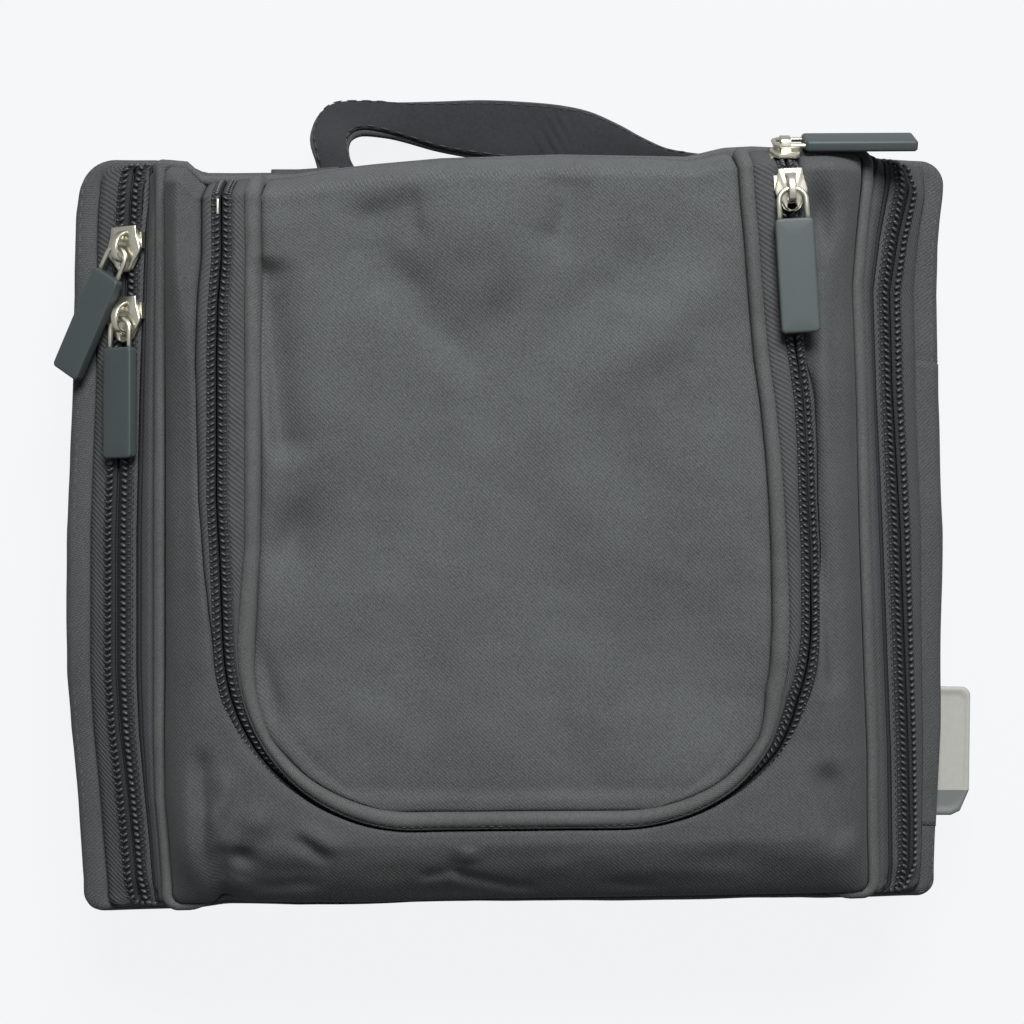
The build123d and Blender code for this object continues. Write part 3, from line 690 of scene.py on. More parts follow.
@dataclass(frozen=True)
class BagSkin:
    """The bag's skin below its front: closed loops round it at any height, with lift along its normal."""

    half_width: float = 120.0
    half_height: float = 102.5
    heights: tuple = (0, 1.2, 4, 7, 14, 22, 30, 36, 39.5, 41.8, 43, 46, 55, 58)
    side_insets: tuple = (8, 6.2, 4, 3.0, 1.7, 0.7, 0.1, 0, 0.9, 3.4, 6.5, 10.6, 23, 25.4)
    end_drops: tuple = (6.5, 5, 3, 2.3, 1.3, 0.5, 0.1, 0, 0.05, 0.1, 0.2, 0.4, 1.0, 1.3)
    top_right: tuple = (5, 6, 7, 7, 7, 7, 7, 7, 6, 5, 4.4, 2.9, 2.7, 2.5)
    top_left: tuple = (8, 9, 10.5, 11, 11, 11, 11, 11, 10, 8, 6.4, 2.8, 2.7, 2.5)
    bottom: tuple = (3, 3.4, 4, 4, 4, 4, 4, 4, 3.8, 3.4, 3.2, 3.1, 3, 3)
    along_side: int = 104
    along_end: int = 122
    along_corner: int = 12
    slump: Slump = Slump()

    @property
    def count(self) -> int:
        """Points in one loop."""
        return 2 * self.along_side + 2 * self.along_end + 4 * self.along_corner

    def even_loop(self, z: float) -> Array:
        """A loop of the even bag, anticlockwise from the right side's foot.

        Args:
            z: Height of the loop.

        Returns:
            Points round the loop.
        """
        side = self.half_width - np.interp(z, self.heights, self.side_insets)
        end = self.half_height - np.interp(z, self.heights, self.end_drops)
        tables = (self.top_right, self.top_left, self.bottom, self.bottom)
        radii = [max(np.interp(z, self.heights, table), 1.5) for table in tables]
        centres = [
            np.array([sx * (side - radius), sy * (end - radius)])
            for radius, (sx, sy) in zip(radii, ((1, 1), (-1, 1), (-1, -1), (1, -1)))
        ]
        turn = np.linspace(0, math.pi / 2, self.along_corner + 1)[:-1]
        parts = []
        for k in range(4):
            heading = np.round([math.cos(k * math.pi / 2), math.sin(k * math.pi / 2)])
            start = centres[k - 1] + radii[k - 1] * heading
            stop = centres[k] + radii[k] * heading
            count = self.along_end if k % 2 else self.along_side
            steps = np.linspace(0, 1, count + 1)[:-1]
            parts.append(start + (stop - start) * steps[:, None])
            angle = turn + k * math.pi / 2
            parts.append(centres[k] + radii[k] * np.stack([np.cos(angle), np.sin(angle)], axis=1))
        flat = np.concatenate(parts)
        return np.column_stack([flat, np.full(len(flat), float(z))])

    def frame_at(self, z: float) -> tuple:
        """A loop of the even bag with its directions.

        Args:
            z: Height of the loop.

        Returns:
            Points, directions up the skin, and directions out of it.
        """
        loop = self.even_loop(z)
        along = np.roll(loop, -1, axis=0) - np.roll(loop, 1, axis=0)
        low, high = max(z - 0.6, 0), min(z + 0.6, 58)
        up = unit(self.even_loop(high) - self.even_loop(low))
        out = unit(np.cross(along, up))
        return loop, up, out

    def loop(self, z: float, lift: object = 0.0, climb: object = 0.0) -> Array:
        """A loop of the soft bag.

        Args:
            z: Height of the loop.
            lift: How far it stands out of the skin, one number or one for each point.
            climb: How far it is moved up along the skin.

        Returns:
            Points round the loop.
        """
        points, up, out = self.frame_at(z)
        lifted = points + up * np.reshape(climb, (-1, 1)) + out * np.reshape(lift, (-1, 1))
        return self.slump.apply(lifted)


@dataclass(frozen=True)
class FrontDome:
    """The bag's domed front, from its base outline at height 58 to the flat at 72."""

    side: float = 94.6
    end: float = 101.2
    high_corner: float = 2.5
    low_corner: float = 3.0
    base: float = 58.0
    rise: float = 14.0
    side_width: float = 13.5
    top_width: float = 5.8
    bottom_width: float = 17.5
    side_power: float = 1.6
    top_power: float = 1.15
    bottom_power: float = 1.3
    slump: Slump = Slump()
    folds: Noise = Noise(7)
    dents: tuple = (
        (3.0, -6, 80, 13, 12, 0), (2.4, 34, 50, 8, 30, -48), (-1.6, 22, 62, 8, 22, -48), (1.6, -44, 34, 16, 26, 0),
        (-1.6, -28, 66, 5, 10, 40), (-1.8, -5, 56, 5, 7, -30), (-4.2, -58, -1, 5.5, 9, -25),
        (-2.6, -65, -42, 2.6, 12, 10), (-4.6, 50, -40, 20, 40, 30), (2.4, 22, 2, 28, 12, -60),
        (-1.6, 88, 40, 3, 26, 0), (-1.6, -88, 10, 3.5, 40, 0), (-3.4, -73, -87, 3.4, 3.0, 0),
        (-6.5, 82.8, 82, 4.2, 9, 8), (1.8, -89, -76, 5, 14, 0), (2.2, -68, -77, 4.5, 4, 30),
        (0.8, 34, -92, 9, 4, 0), (-1.2, 60, -90, 10, 4, -12), (-2.6, -17, -99, 14, 3.2, -3),
    )
    creases: tuple = (
        (-2.7, 12, 5.5, (-39, 94), (-34.4, 66.3), (-19.9, 51.7), (-5, 42)),
        (-1.2, 2.0, 4.0, (-27.3, 96), (-26, 83), (-24.1, 75.8)),
        (-2.4, 6.0, 4.0, (8, 98), (14, 90), (12, 80), (4, 74)),
        (-4.0, 6.5, 1.8, (-67.5, 76), (-64.8, 50), (-63.2, 30), (-61.5, 16)),
        (-2.8, 3.6, 2.0, (81, 74), (80.6, 40), (82, 15), (83, -10), (85, -45)),
        (-3.4, 4.6, 3.6, (80.5, -60), (84, -74), (88, -89)),
        (-2.6, 2.6, 2.6, (-82, -56), (-83.2, -66), (-82.6, -75), (-84, -84), (-82.5, -97)),
        (2.0, 2.4, 2.4, (-77.5, -61), (-76, -67), (-76.6, -72), (-79.8, -77), (-80.2, -85)),
        (-1.7, 1.8, 1.8, (-77.2, -85), (-78.4, -99)),
        (1.6, 2.6, 2.6, (-74.6, -92), (-75.1, -99)),
        (-1.7, 2.0, 2.0, (-60.8, -80.8), (-54, -84.5), (-47.6, -89.5)),
        (1.3, 2.4, 2.4, (-58.5, -77), (-51.5, -81.5), (-44.6, -86)),
        (-1.4, 1.9, 1.9, (-72, -96.5), (-58, -95), (-49, -95)),
        (-2.0, 1.7, 1.7, (-15.8, -85), (-16.8, -91.5), (-13.5, -93.5), (-1, -96.5), (9, -98)),
        (1.3, 2.2, 2.2, (-12.4, -84), (-12.8, -90)),
        (-1.4, 1.7, 1.7, (-27, -93.6), (-16.8, -92)),
        (-1.2, 1.7, 1.7, (20, -96), (40, -97.5)),
    )

    def height(self, x: Array, y: Array) -> Array:
        """Height of the even front.

        Args:
            x: Places across the bag.
            y: Places up the bag.

        Returns:
            Heights.
        """
        depth, square = self.depth(x, y)
        end_width = np.where(y > 0, self.top_width, self.bottom_width)
        end_power = np.where(y > 0, self.top_power, self.bottom_power)
        side_width = self.side_width * (1 - 0.6 * ramp(y, 10, 75) * ramp(-x, 0, 40))
        across = np.clip((self.side - np.abs(x)) / side_width, 0, 1)
        along = np.clip((self.end - np.abs(y)) / end_width, 0, 1)
        side_form = (1 - (1 - across) ** self.side_power) ** (1 / self.side_power)
        end_form = (1 - (1 - along) ** end_power) ** (1 / end_power)
        cut = np.clip(depth / np.maximum(square, 1e-6), 0, 1) ** 0.5
        return self.base + self.rise * side_form * end_form * cut

    def depth(self, x: Array, y: Array) -> tuple:
        """How far places lie inside the front's base outline.

        Args:
            x: Places across the bag.
            y: Places up the bag.

        Returns:
            Depths inside the rounded outline, and inside the same outline with square corners.
        """
        corner = np.where(y < 0, self.low_corner, self.high_corner)
        qx = np.abs(x) - (self.side - corner)
        qy = np.abs(y) - (self.end - corner)
        outside = np.hypot(np.maximum(qx, 0), np.maximum(qy, 0))
        square = np.minimum(self.side - np.abs(x), self.end - np.abs(y))
        return corner - outside - np.minimum(np.maximum(qx, qy), 0), square

    def shape(self, x: Array, y: Array) -> Array:
        """Relief of the cloth's dents and creases, added to the even height.

        Args:
            x: Places across the bag.
            y: Places up the bag.

        Returns:
            Heights above the even front.
        """

        def dent(cx: float, cy: float, rx: float, ry: float, turn: float = 0.0) -> Array:
            """A soft oval dip of depth 1."""
            c, s = math.cos(math.radians(turn)), math.sin(math.radians(turn))
            u = ((x - cx) * c + (y - cy) * s) / rx
            v = ((y - cy) * c - (x - cx) * s) / ry
            return np.exp(-(u * u + v * v))

        relief = np.zeros_like(x, dtype=float)
        for depth, *oval in self.dents:
            relief += depth * dent(*oval)
        for depth, left, right, *corners in self.creases:
            away, lean, shares = self.away(x, y, corners)
            width = (left + right) / 2 + lean * (left - right) / 2
            relief += depth * shares * np.exp(-((away / width) ** 2))
        places = np.stack([x, y, np.zeros_like(x)], axis=-1)
        relief += 0.5 * self.folds.at(places, 34) + 0.22 * self.folds.at(places * (1, 1.6, 1) + 50, 12)
        relief += ramp(-y, 80, 92) * 0.8 * self.folds.at(places * (1, 2.2, 1) + 90, 14)
        return relief

    def away(self, x: Array, y: Array, corners: Sequence) -> tuple:
        """Distance of places from a line with corners, the side that they lie on, and how near its ends they are.

        Args:
            x: Places across the bag.
            y: Places up the bag.
            corners: The line's corners.

        Returns:
            Distances, sides from 1 on the line's left to -1 on its right, and shares from 0 at its ends to 1.
        """
        nearest = np.full(np.shape(x), 1e3)
        lean = np.zeros(np.shape(x))
        place = np.zeros(np.shape(x))
        gone = 0.0
        for (ax, ay), (bx, by) in zip(corners, corners[1:]):
            dx, dy = bx - ax, by - ay
            length = math.hypot(dx, dy)
            part = np.clip(((x - ax) * dx + (y - ay) * dy) / (dx * dx + dy * dy), 0, 1)
            here = np.hypot(x - ax - part * dx, y - ay - part * dy)
            side = (dx * (y - ay) - dy * (x - ax)) / length
            closer = here < nearest
            nearest = np.where(closer, here, nearest)
            lean = np.where(closer, np.clip(side / np.maximum(here, 0.05), -1, 1), lean)
            place = np.where(closer, gone + part * length, place)
            gone += length
        shares = ramp(np.minimum(place, gone - place), 0, min(8.0, 0.4 * gone))
        return nearest, lean, shares

    def even(self, x: Array, y: Array) -> Array:
        """Points on the front before it sags sideways.

        Args:
            x: Places across the bag.
            y: Places up the bag.

        Returns:
            Points.
        """
        y = np.minimum(y, self.end)
        base = self.height(x, y)
        near = np.clip((base - self.base) / self.rise, 0, 1)
        return np.stack([x, y, base + near * self.shape(x, y)], axis=-1)

    def place(self, x: Array, y: Array, lift: object) -> Array:
        """Points on the soft front, lifted off it.

        Args:
            x: Places across the bag.
            y: Places up the bag.
            lift: How far off the front they lie.

        Returns:
            Points.
        """
        step = 0.25
        here = self.even(x, y)
        across = self.even(x + step, y) - self.even(x - step, y)
        y_low = np.minimum(y, self.end - step) - step
        up = self.even(x, y_low + 2 * step) - self.even(x, y_low)
        out = unit(np.cross(across, up))
        return self.slump.apply(here + out * np.asarray(lift)[..., None])


@dataclass(frozen=True)
class PocketPath:
    """The pocket zip's middle line: down the left, round the bottom and up the leaning right."""

    left: float = -77.5
    right_top: float = 72.0
    right_top_y: float = 95.0
    lean: float = 3.5
    bottom: float = -80.0
    corner: float = 52.0
    top: float = 101.2
    rim: float = 95.4
    step: float = 1.0
    left_y: tuple = (-80, -58, -45, -32, -18, -5, 8, 47, 60, 76, 90)
    left_bow: tuple = (0, -0.5, 0.0, 0.5, 0.0, -0.6, -1.3, -1.3, -1.0, 0, 0)
    right_y: tuple = (-80, -72, -58, -45, -32, -18, -5, 8, 21, 34, 47, 60)
    right_bow: tuple = (0, 0, -0.5, -2.0, -1.3, -0.1, 0.9, 1.2, 1.8, 2.0, 1.0, 0.2)
    left_reach_y: tuple = (-80, -70, -58, -45, -32, -18, -5, 8, 47, 60, 76, 95)
    left_reach: tuple = (0.7, 1.3, 2.4, 3.0, 3.5, 4.9, 6.6, 7.4, 7.4, 7.0, 6.2, 6.0)
    left_width: tuple = (4.5, 3.6, 2.8, 3.9, 4.9, 4.6, 4.4, 4.4, 4.4, 4.4, 4.4, 4.4)
    right_reach_y: tuple = (-80, -70, -58, -45, -32, -18, -5, 8, 21, 34, 47, 60, 76, 87, 101)
    right_reach: tuple = (0.7, 1.2, 2.6, 4.0, 5.5, 5.9, 6.55, 6.7, 7.5, 8.2, 8.3, 8.0, 8.6, 9.2, 9.4)
    right_width: tuple = (4.5, 3.7, 3.2, 4.8, 5.0, 4.9, 4.6, 4.5, 4.5, 4.5, 4.5, 4.4, 4.3, 4.2, 4.2)
    edge_y: tuple = (-80, -70, -50, -29, -10)
    edge_away: tuple = (0.4, 0.6, 1.4, 2.6, 3.6)
    left_edge_y: tuple = (-30, -10, 10, 30, 70, 100)
    left_edge: tuple = (0, 1.2, 2.1, 2.5, 1.9, 1.6)

    def bow(self, points: Array) -> Array:
        """How far the sewn zip strays sideways from its drawn line.

        Args:
            points: Points in plan.

        Returns:
            Shifts along X.
        """
        x, y = points[:, 0], points[:, 1]
        left = np.interp(y, self.left_y, self.left_bow) * ramp(-x, 20, 60)
        right = np.interp(y, self.right_y, self.right_bow) * ramp(x, 20, 60)
        return left + right

    def reach(self, points: Array) -> tuple:
        """How far from the zip's middle the flap's raised band begins and ends.

        Args:
            points: The middle line.

        Returns:
            Distances to the band's outer and inner border.
        """
        x, y = points[:, 0], points[:, 1]
        left = np.interp(y, self.left_reach_y, self.left_reach)
        right = np.interp(y, self.right_reach_y, self.right_reach)
        left_width = np.interp(y, self.left_reach_y, self.left_width)
        right_width = np.interp(y, self.right_reach_y, self.right_width)
        near = np.where(x < 0, left, right)
        return near, near + np.where(x < 0, left_width, right_width)

    def edge(self, points: Array) -> Array:
        """How far from the zip's middle the fixed front's folded edge lies.

        Args:
            points: The middle line.

        Returns:
            Distances.
        """
        y = points[:, 1]
        extra = np.interp(y, self.left_edge_y, self.left_edge) * (points[:, 0] < 0)
        return np.interp(y, self.edge_y, self.edge_away) + extra

    def _round(self, before: Array, tip: Array, after: Array, count: int) -> Array:
        """Round one corner of the line.

        Args:
            before: A point before the corner.
            tip: The corner.
            after: A point after it.
            count: Points on the arc.

        Returns:
            Points on the arc.
        """
        first, second = unit(before - tip), unit(after - tip)
        half = math.acos(float(first @ second)) / 2
        start = tip + first * self.corner / math.tan(half)
        centre = tip + unit(first + second) * self.corner / math.sin(half)
        end = tip + second * self.corner / math.tan(half)
        angles = [math.atan2(*(p - centre)[::-1]) for p in (start, end)]
        if angles[1] < angles[0]:
            angles[1] += 2 * math.pi
        turn = np.linspace(angles[0], angles[1], count)
        return centre + self.corner * np.stack([np.cos(turn), np.sin(turn)], axis=1)

    def points(self) -> Array:
        """The middle line from the left top to the right top, in plan.

        Returns:
            Points, evenly spread but closer over the top edge.
        """
        slant = math.tan(math.radians(self.lean))
        corners = [
            np.array([self.left, self.top]),
            np.array([self.left, self.bottom]),
            np.array([self.right_top + (self.right_top_y - self.bottom) * slant, self.bottom]),
            np.array([self.right_top + (self.right_top_y - self.top) * slant, self.top]),
        ]
        first = self._round(corners[0], corners[1], corners[2], 60)
        second = self._round(corners[1], corners[2], corners[3], 60)
        rough = np.concatenate([[corners[0]], first, second, [corners[3]]])
        length = run_lengths(rough)
        edge = self.top - self.rim
        middle = np.linspace(edge, length[-1] - edge, int((length[-1] - 2 * edge) / self.step))
        ends = np.linspace(0, edge, 12)[:-1]
        places = np.concatenate([ends, middle, length[-1] - ends[::-1]])
        line = np.stack([np.interp(places, length, rough[:, k]) for k in (0, 1)], axis=1)
        line[:, 0] += self.bow(line)
        return line

    def normals(self, points: Array) -> Array:
        """Directions away from the flap along the line.

        Args:
            points: The middle line.

        Returns:
            One direction for each point.
        """
        along = np.gradient(points, axis=0)
        padded = np.pad(along, ((4, 4), (0, 0)), mode="edge")
        along = np.stack([np.convolve(padded[:, k], np.ones(9) / 9, mode="valid") for k in (0, 1)], axis=1)
        return unit(np.stack([along[:, 1], -along[:, 0]], axis=1))


SKIN = BagSkin()
DOME = FrontDome()
POCKET = PocketPath()


class PocketLine:
    """The pocket zip's middle line, with what is needed to draw beside it."""

    def __init__(self) -> None:
        """Follow the path, and find how far the flap hides it: 0 on the legs and 1 along the bottom."""
        self.line = POCKET.points()
        self.normal = POCKET.normals(self.line)
        self.cover = ramp(-self.line[:, 1], 38, 70)

    def beside(self, away: object, lift: object) -> Array:
        """A line on the front beside the middle one.

        Args:
            away: How far it lies outside the flap, one number or one for each point.
            lift: How far it stands off the front.

        Returns:
            Points of the line.
        """
        every = np.ones(len(self.line))
        flat = self.line + self.normal * np.reshape(away * every, (-1, 1))
        return DOME.place(flat[:, 0], flat[:, 1], lift * every)


# What repeats along a seam


class SeamTree:
    """A Geometry Nodes tree that lays one small rounded piece at each place on a seam."""

    def __init__(self, name: str, segments: int, rings: int) -> None:
        """Build the tree.

        Args:
            name: The tree's name.
            segments: Faces round one piece.
            rings: Faces along one piece.
        """
        tree = bpy.data.node_groups.new(name, "GeometryNodeTree")
        face = tree.interface
        face.new_socket("Seam", in_out="INPUT", socket_type="NodeSocketGeometry")
        for label in ("Length", "Width", "Height"):
            face.new_socket(label, in_out="INPUT", socket_type="NodeSocketFloat")
        face.new_socket("Finish", in_out="INPUT", socket_type="NodeSocketMaterial")
        face.new_socket("Pieces", in_out="OUTPUT", socket_type="NodeSocketGeometry")
        nodes, links = tree.nodes, tree.links
        given, result = nodes.new("NodeGroupInput"), nodes.new("NodeGroupOutput")
        ball = add_node(tree, "GeometryNodeMeshUVSphere", Segments=segments, Rings=rings, Radius=0.5)
        turns = []
        for label, axis in (("along", "X"), ("out", "Z")):
            read = add_node(tree, "GeometryNodeInputNamedAttribute", Name=label)
            read.data_type = "FLOAT_VECTOR"
            align = nodes.new("FunctionNodeAlignRotationToVector")
            align.axis = axis
            if turns:
                align.pivot_axis = "X"
                links.new(turns[-1].outputs["Rotation"], align.inputs["Rotation"])
            links.new(read.outputs["Attribute"], align.inputs["Vector"])
            turns.append(align)
        size = nodes.new("ShaderNodeCombineXYZ")
        for label, socket in (("Length", "X"), ("Width", "Y"), ("Height", "Z")):
            links.new(given.outputs[label], size.inputs[socket])
        lay = nodes.new("GeometryNodeInstanceOnPoints")
        links.new(given.outputs["Seam"], lay.inputs["Points"])
        links.new(ball.outputs["Mesh"], lay.inputs["Instance"])
        links.new(turns[-1].outputs["Rotation"], lay.inputs["Rotation"])
        links.new(size.outputs["Vector"], lay.inputs["Scale"])
        real = nodes.new("GeometryNodeRealizeInstances")
        smooth = nodes.new("GeometryNodeSetShadeSmooth")
        finish = nodes.new("GeometryNodeSetMaterial")
        for before, after in ((lay, real), (real, smooth), (smooth, finish)):
            links.new(before.outputs[0], after.inputs["Geometry"])
        links.new(given.outputs["Finish"], finish.inputs["Material"])
        links.new(finish.outputs["Geometry"], result.inputs["Pieces"])
        self.tree = tree

    def lay(
        self, name: str, places: Array, along: Array, out: Array, size: tuple, material: bpy.types.Material
    ) -> bpy.types.Object:
        """Lay the pieces and turn them into one plain mesh.

        Args:
            name: The new object's name.
            places: Where the pieces go.
            along: Each piece's long direction.
            out: Each piece's outward direction.
            size: Length, width and height of a piece.
            material: The pieces' finish.

        Returns:
            The plain mesh object.
        """
        mesh = bpy.data.meshes.new(name + "_seam")
        mesh.from_pydata((places * MM).tolist(), [], [])
        for label, values in (("along", along), ("out", out)):
            layer = mesh.attributes.new(label, "FLOAT_VECTOR", "POINT")
            layer.data.foreach_set("vector", np.ascontiguousarray(values, np.float32).ravel())
        seam = show(name + "_seam", mesh)
        modifier = seam.modifiers.new("Seam", "NODES")
        modifier.node_group = self.tree
        values = dict(zip(("Length", "Width", "Height"), [s * MM for s in size]))
        for item in self.tree.interface.items_tree:
            if item.in_out == "INPUT" and item.name in values:
                modifier[item.identifier] = values[item.name]
            if item.in_out == "INPUT" and item.name == "Finish":
                modifier[item.identifier] = material
        graph = bpy.context.evaluated_depsgraph_get()
        plain = bpy.data.meshes.new_from_object(seam.evaluated_get(graph))
        plain.name = name
        bpy.data.objects.remove(seam)
        return show(name, plain)

    def stitch(
        self, name: str, line: Array, out: Array, pitch: float, size: tuple, material: bpy.types.Material
    ) -> bpy.types.Object:
        """Lay stitches one after the other along a line.

        Args:
            name: The new object's name.
            line: The line.
            out: Outward directions along it.
            pitch: Distance between stitches.
            size: Length, width and height of a stitch.
            material: The thread's finish.

        Returns:
            The stitches as one mesh.
        """
        index = spaced(line, pitch)
        along = unit(pick(np.gradient(line, axis=0), index))
        return self.lay(name, pick(line, index), along, pick(out, index), size, material)


def spaced(path: Array, pitch: float) -> Array:
    """Spread places evenly along a line.

    Args:
        path: Points of the line.
        pitch: Distance between places.

    Returns:
        Places as positions in the line's own index, with fractions.
    """
    length = run_lengths(path)
    count = max(int(length[-1] / pitch), 2)
    stops = (np.arange(count) + 0.5) * length[-1] / count
    return np.interp(stops, length, np.arange(len(path)))


def pick(values: Array, index: Array) -> Array:
    """Read rows of an array at positions with fractions.

    Args:
        values: Rows to read.
        index: Positions.

    Returns:
        The rows between the nearest two.
    """
    low = np.clip(np.floor(index).astype(int), 0, len(values) - 1)
    high = np.clip(low + 1, 0, len(values) - 1)
    part = (index - low)[:, None]
    return values[low] * (1 - part) + values[high] * part


def coil_row(
    tree: SeamTree,
    name: str,
    lines: Sequence[Array],
    out: Array,
    pitch: float,
    size: tuple,
    slant: float,
    material: bpy.types.Material,
) -> bpy.types.Object:
    """One row of a coil's turns, leaning along the zip.

    Args:
        tree: The tree that lays them.
        name: The new object's name.
        lines: The row's middle line, and the same line moved a little towards the zip's middle and away from it.
        out: Outward directions along it.
        pitch: Distance between turns.
        size: Length, width and height of a turn.
        slant: How far a turn leans along the zip, as a share of its reach across.
        material: The coil's finish.

    Returns:
        The row as one mesh.
    """
    middle, inner, outer = lines
    index = spaced(middle, pitch)
    along = unit(pick(np.gradient(middle, axis=0), index))
    across = unit(pick(outer, index) - pick(inner, index))
    return tree.lay(name, pick(middle, index), unit(across + slant * along), pick(out, index), size, material)


# Sub-assemblies


@dataclass
class RearTray:
    """The deep back half of the bag: its back, sides, lining, slip pocket, tag and what is sewn inside."""

    wardrobe: Wardrobe
    beads: SeamTree
    folds: Noise = Noise(3)
    back_seam: float = 5.5
    wall: float = 2.2
    floor: float = 5.4

    def build(self) -> None:
        """Build every piece of the tray."""
        self.back()
        self.gusset()
        self.lining()
        self.side_pocket()
        self.tag()
        self.anchors()
        self.net_pocket()
        self.loops()

    def back(self) -> None:
        """The padded back panel, its piping and the stiffening board behind the lining."""
        loops = []
        for z, inward in ((0.0, 110), (0.0, 60), (0.0, 25), (0.0, 6), (0.0, 1.5), (0.35, 0.2), (1.2, 0)):
            loops.append(SKIN.slump.apply(self.closing(z, inward)))
        loops += [SKIN.loop(2.6, 0.25), SKIN.loop(3.9, -0.2)]
        for inward in (2, 8, 40, 90):
            loops.append(SKIN.slump.apply(self.closing(4.0, inward)))
        panel = Draft().rings(loops, flat=True).build("back_panel_cloth")
        dress(panel, self.wardrobe.shell, TRAY, "shell_fabric", "back_panel")
        rings = []
        for turn in np.linspace(0, 2 * math.pi, 11)[:-1]:
            rings.append(SKIN.loop(self.back_seam, 0.2 + 1.5 * math.cos(turn), 1.35 * math.sin(turn)))
        cord = Draft().rings(rings, wrap=True).build("rear_piping_cord")
        dress(cord, self.wardrobe.piping, TRAY, "piping_fabric", "rear_piping")
        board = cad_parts["back_board"]
        board.data.materials.clear()
        board.data.materials.append(self.wardrobe.board)

    def closing(self, z: float, inward: float, height: Optional[float] = None) -> Array:
        """An even loop drawn in towards the bag's middle.

        Args:
            z: Height whose outline is used.
            inward: How far the loop is drawn in.
            height: Height that the loop lies at, if it isn't z.

        Returns:
            Points round the loop.
        """
        loop = SKIN.even_loop(z)
        size = np.array([SKIN.half_width, SKIN.half_height])
        share = np.maximum(1 - inward / size, 0.03)
        drawn = loop.copy()
        drawn[:, :2] *= share
        drawn[:, 2] = z if height is None else height
        return drawn

    def gusset(self) -> None:
        """The side wall with its folds, rolled in at the upper seam."""
        loops = []
        for z in np.concatenate([np.linspace(6.6, 30, 13), np.linspace(31.5, 43, 13)]):
            form, amount = self.wall_form(z)
            fine = 0.3 * self.folds.at(SKIN.even_loop(z) * (0.7, 0.7, 1.5) + 40, 9)
            loops.append(SKIN.loop(z, form + amount * fine))
        loops.append(SKIN.loop(43.1, -2.1))
        for z in (42.8, 41, 38, 30, 20, 10, 6.6):
            loops.append(SKIN.loop(z, -self.wall))
        wall = Draft().rings(loops, wrap=True).build("rear_gusset_cloth")
        dress(wall, self.wardrobe.shell, TRAY, "shell_fabric", "rear_gusset")
        thread = self.wardrobe.thread
        for name, z, lift in (("upper_edge_stitches", 41.2, 0.5), ("back_edge_stitches", 9.0, 0.35)):
            out = SKIN.frame_at(z)[2]
            row = self.beads.stitch(name, SKIN.loop(z, lift), out, 3.2, (2.1, 0.42, 0.3), thread)
            dress(row, thread, TRAY, "binding")

    def wall_form(self, z: float) -> tuple:
        """How the side wall's cloth stands off its even skin at a height.

        Args:
            z: The height.

        Returns:
            The lift round the loop, with its wide folds and the roll at the upper seam, and the folds' share.
        """
        amount = ramp(z, 6, 14) * (1 - ramp(z, 37, TRAY_SEAM))
        roll = 0.9 * math.exp(-(((z - 40.4) / 1.5) ** 2)) - 0.9 * ramp(z, 41.2, TRAY_SEAM)
        return amount * 0.9 * self.folds.at(SKIN.even_loop(z) * (0.35, 0.35, 1), 13) + roll, amount

    def lining(self) -> None:
        """The lining of the floor and of the walls, with soft ripples."""
        loops = []
        for inward in (0.97, 0.8, 0.6, 0.4, 0.2, 0.06):
            loop = SKIN.slump.apply(self.closing(5.4, inward * 100, self.floor))
            loop[:, 2] += 0.35 + 0.3 * self.folds.at(loop, 30) * (1 - inward)
            loops.append(loop)
        for z in (6.4, 9, 14, 20, 26, 32, 36, 39, 41, 42.6):
            ripple = 0.35 * self.folds.at(SKIN.even_loop(z) * (0.4, 0.4, 1.2), 12)
            loops.append(SKIN.loop(z, -self.wall - 0.75 + ripple))
        loops.append(SKIN.loop(42.6, -self.wall - 0.2))
        for z in (30, 9):
            loops.append(SKIN.loop(z, -self.wall - 0.1))
        loops.append(SKIN.slump.apply(self.closing(5.4, 6, self.floor - 0.1)))
        dress(Draft().rings(loops).build("rear_lining_cloth"), self.wardrobe.lining, TRAY, "lining", "rear_lining")

    def side_pocket(self) -> None:
        """The slip pocket on the right side, with its hem."""
        heights = np.concatenate([[9.0], np.linspace(9.6, 34, 12), np.linspace(36, 42.9, 9), [TRAY_SEAM]])
        for name, low, high, lift, slot, node in (
            ("side_pocket_cloth", -85.0, 46.5, 0.75, "shell_fabric", "side_pocket"),
            ("side_pocket_hem_band", 45.5, 48.6, 0.85, "binding", "side_pocket_hem"),
        ):
            y = SKIN.even_loop(30)[:, 1]
            chosen = np.where((np.arange(SKIN.count) < SKIN.along_side) & (y > low) & (y < high))[0]
            front, back = [], []
            for k, z in enumerate(heights):
                edge = 0.3 if k in (0, len(heights) - 1) else 1.0
                thick = lift * edge * (1 - 0.93 * ramp(z, 32, 37))
                form = self.wall_form(z)[0] + 0.05
                front.append(SKIN.loop(z, form + thick)[chosen])
                back.append(SKIN.loop(z, form)[chosen])
            dress(Draft().slab(front, back).build(name), self.wardrobe.shell, TRAY, slot, node)

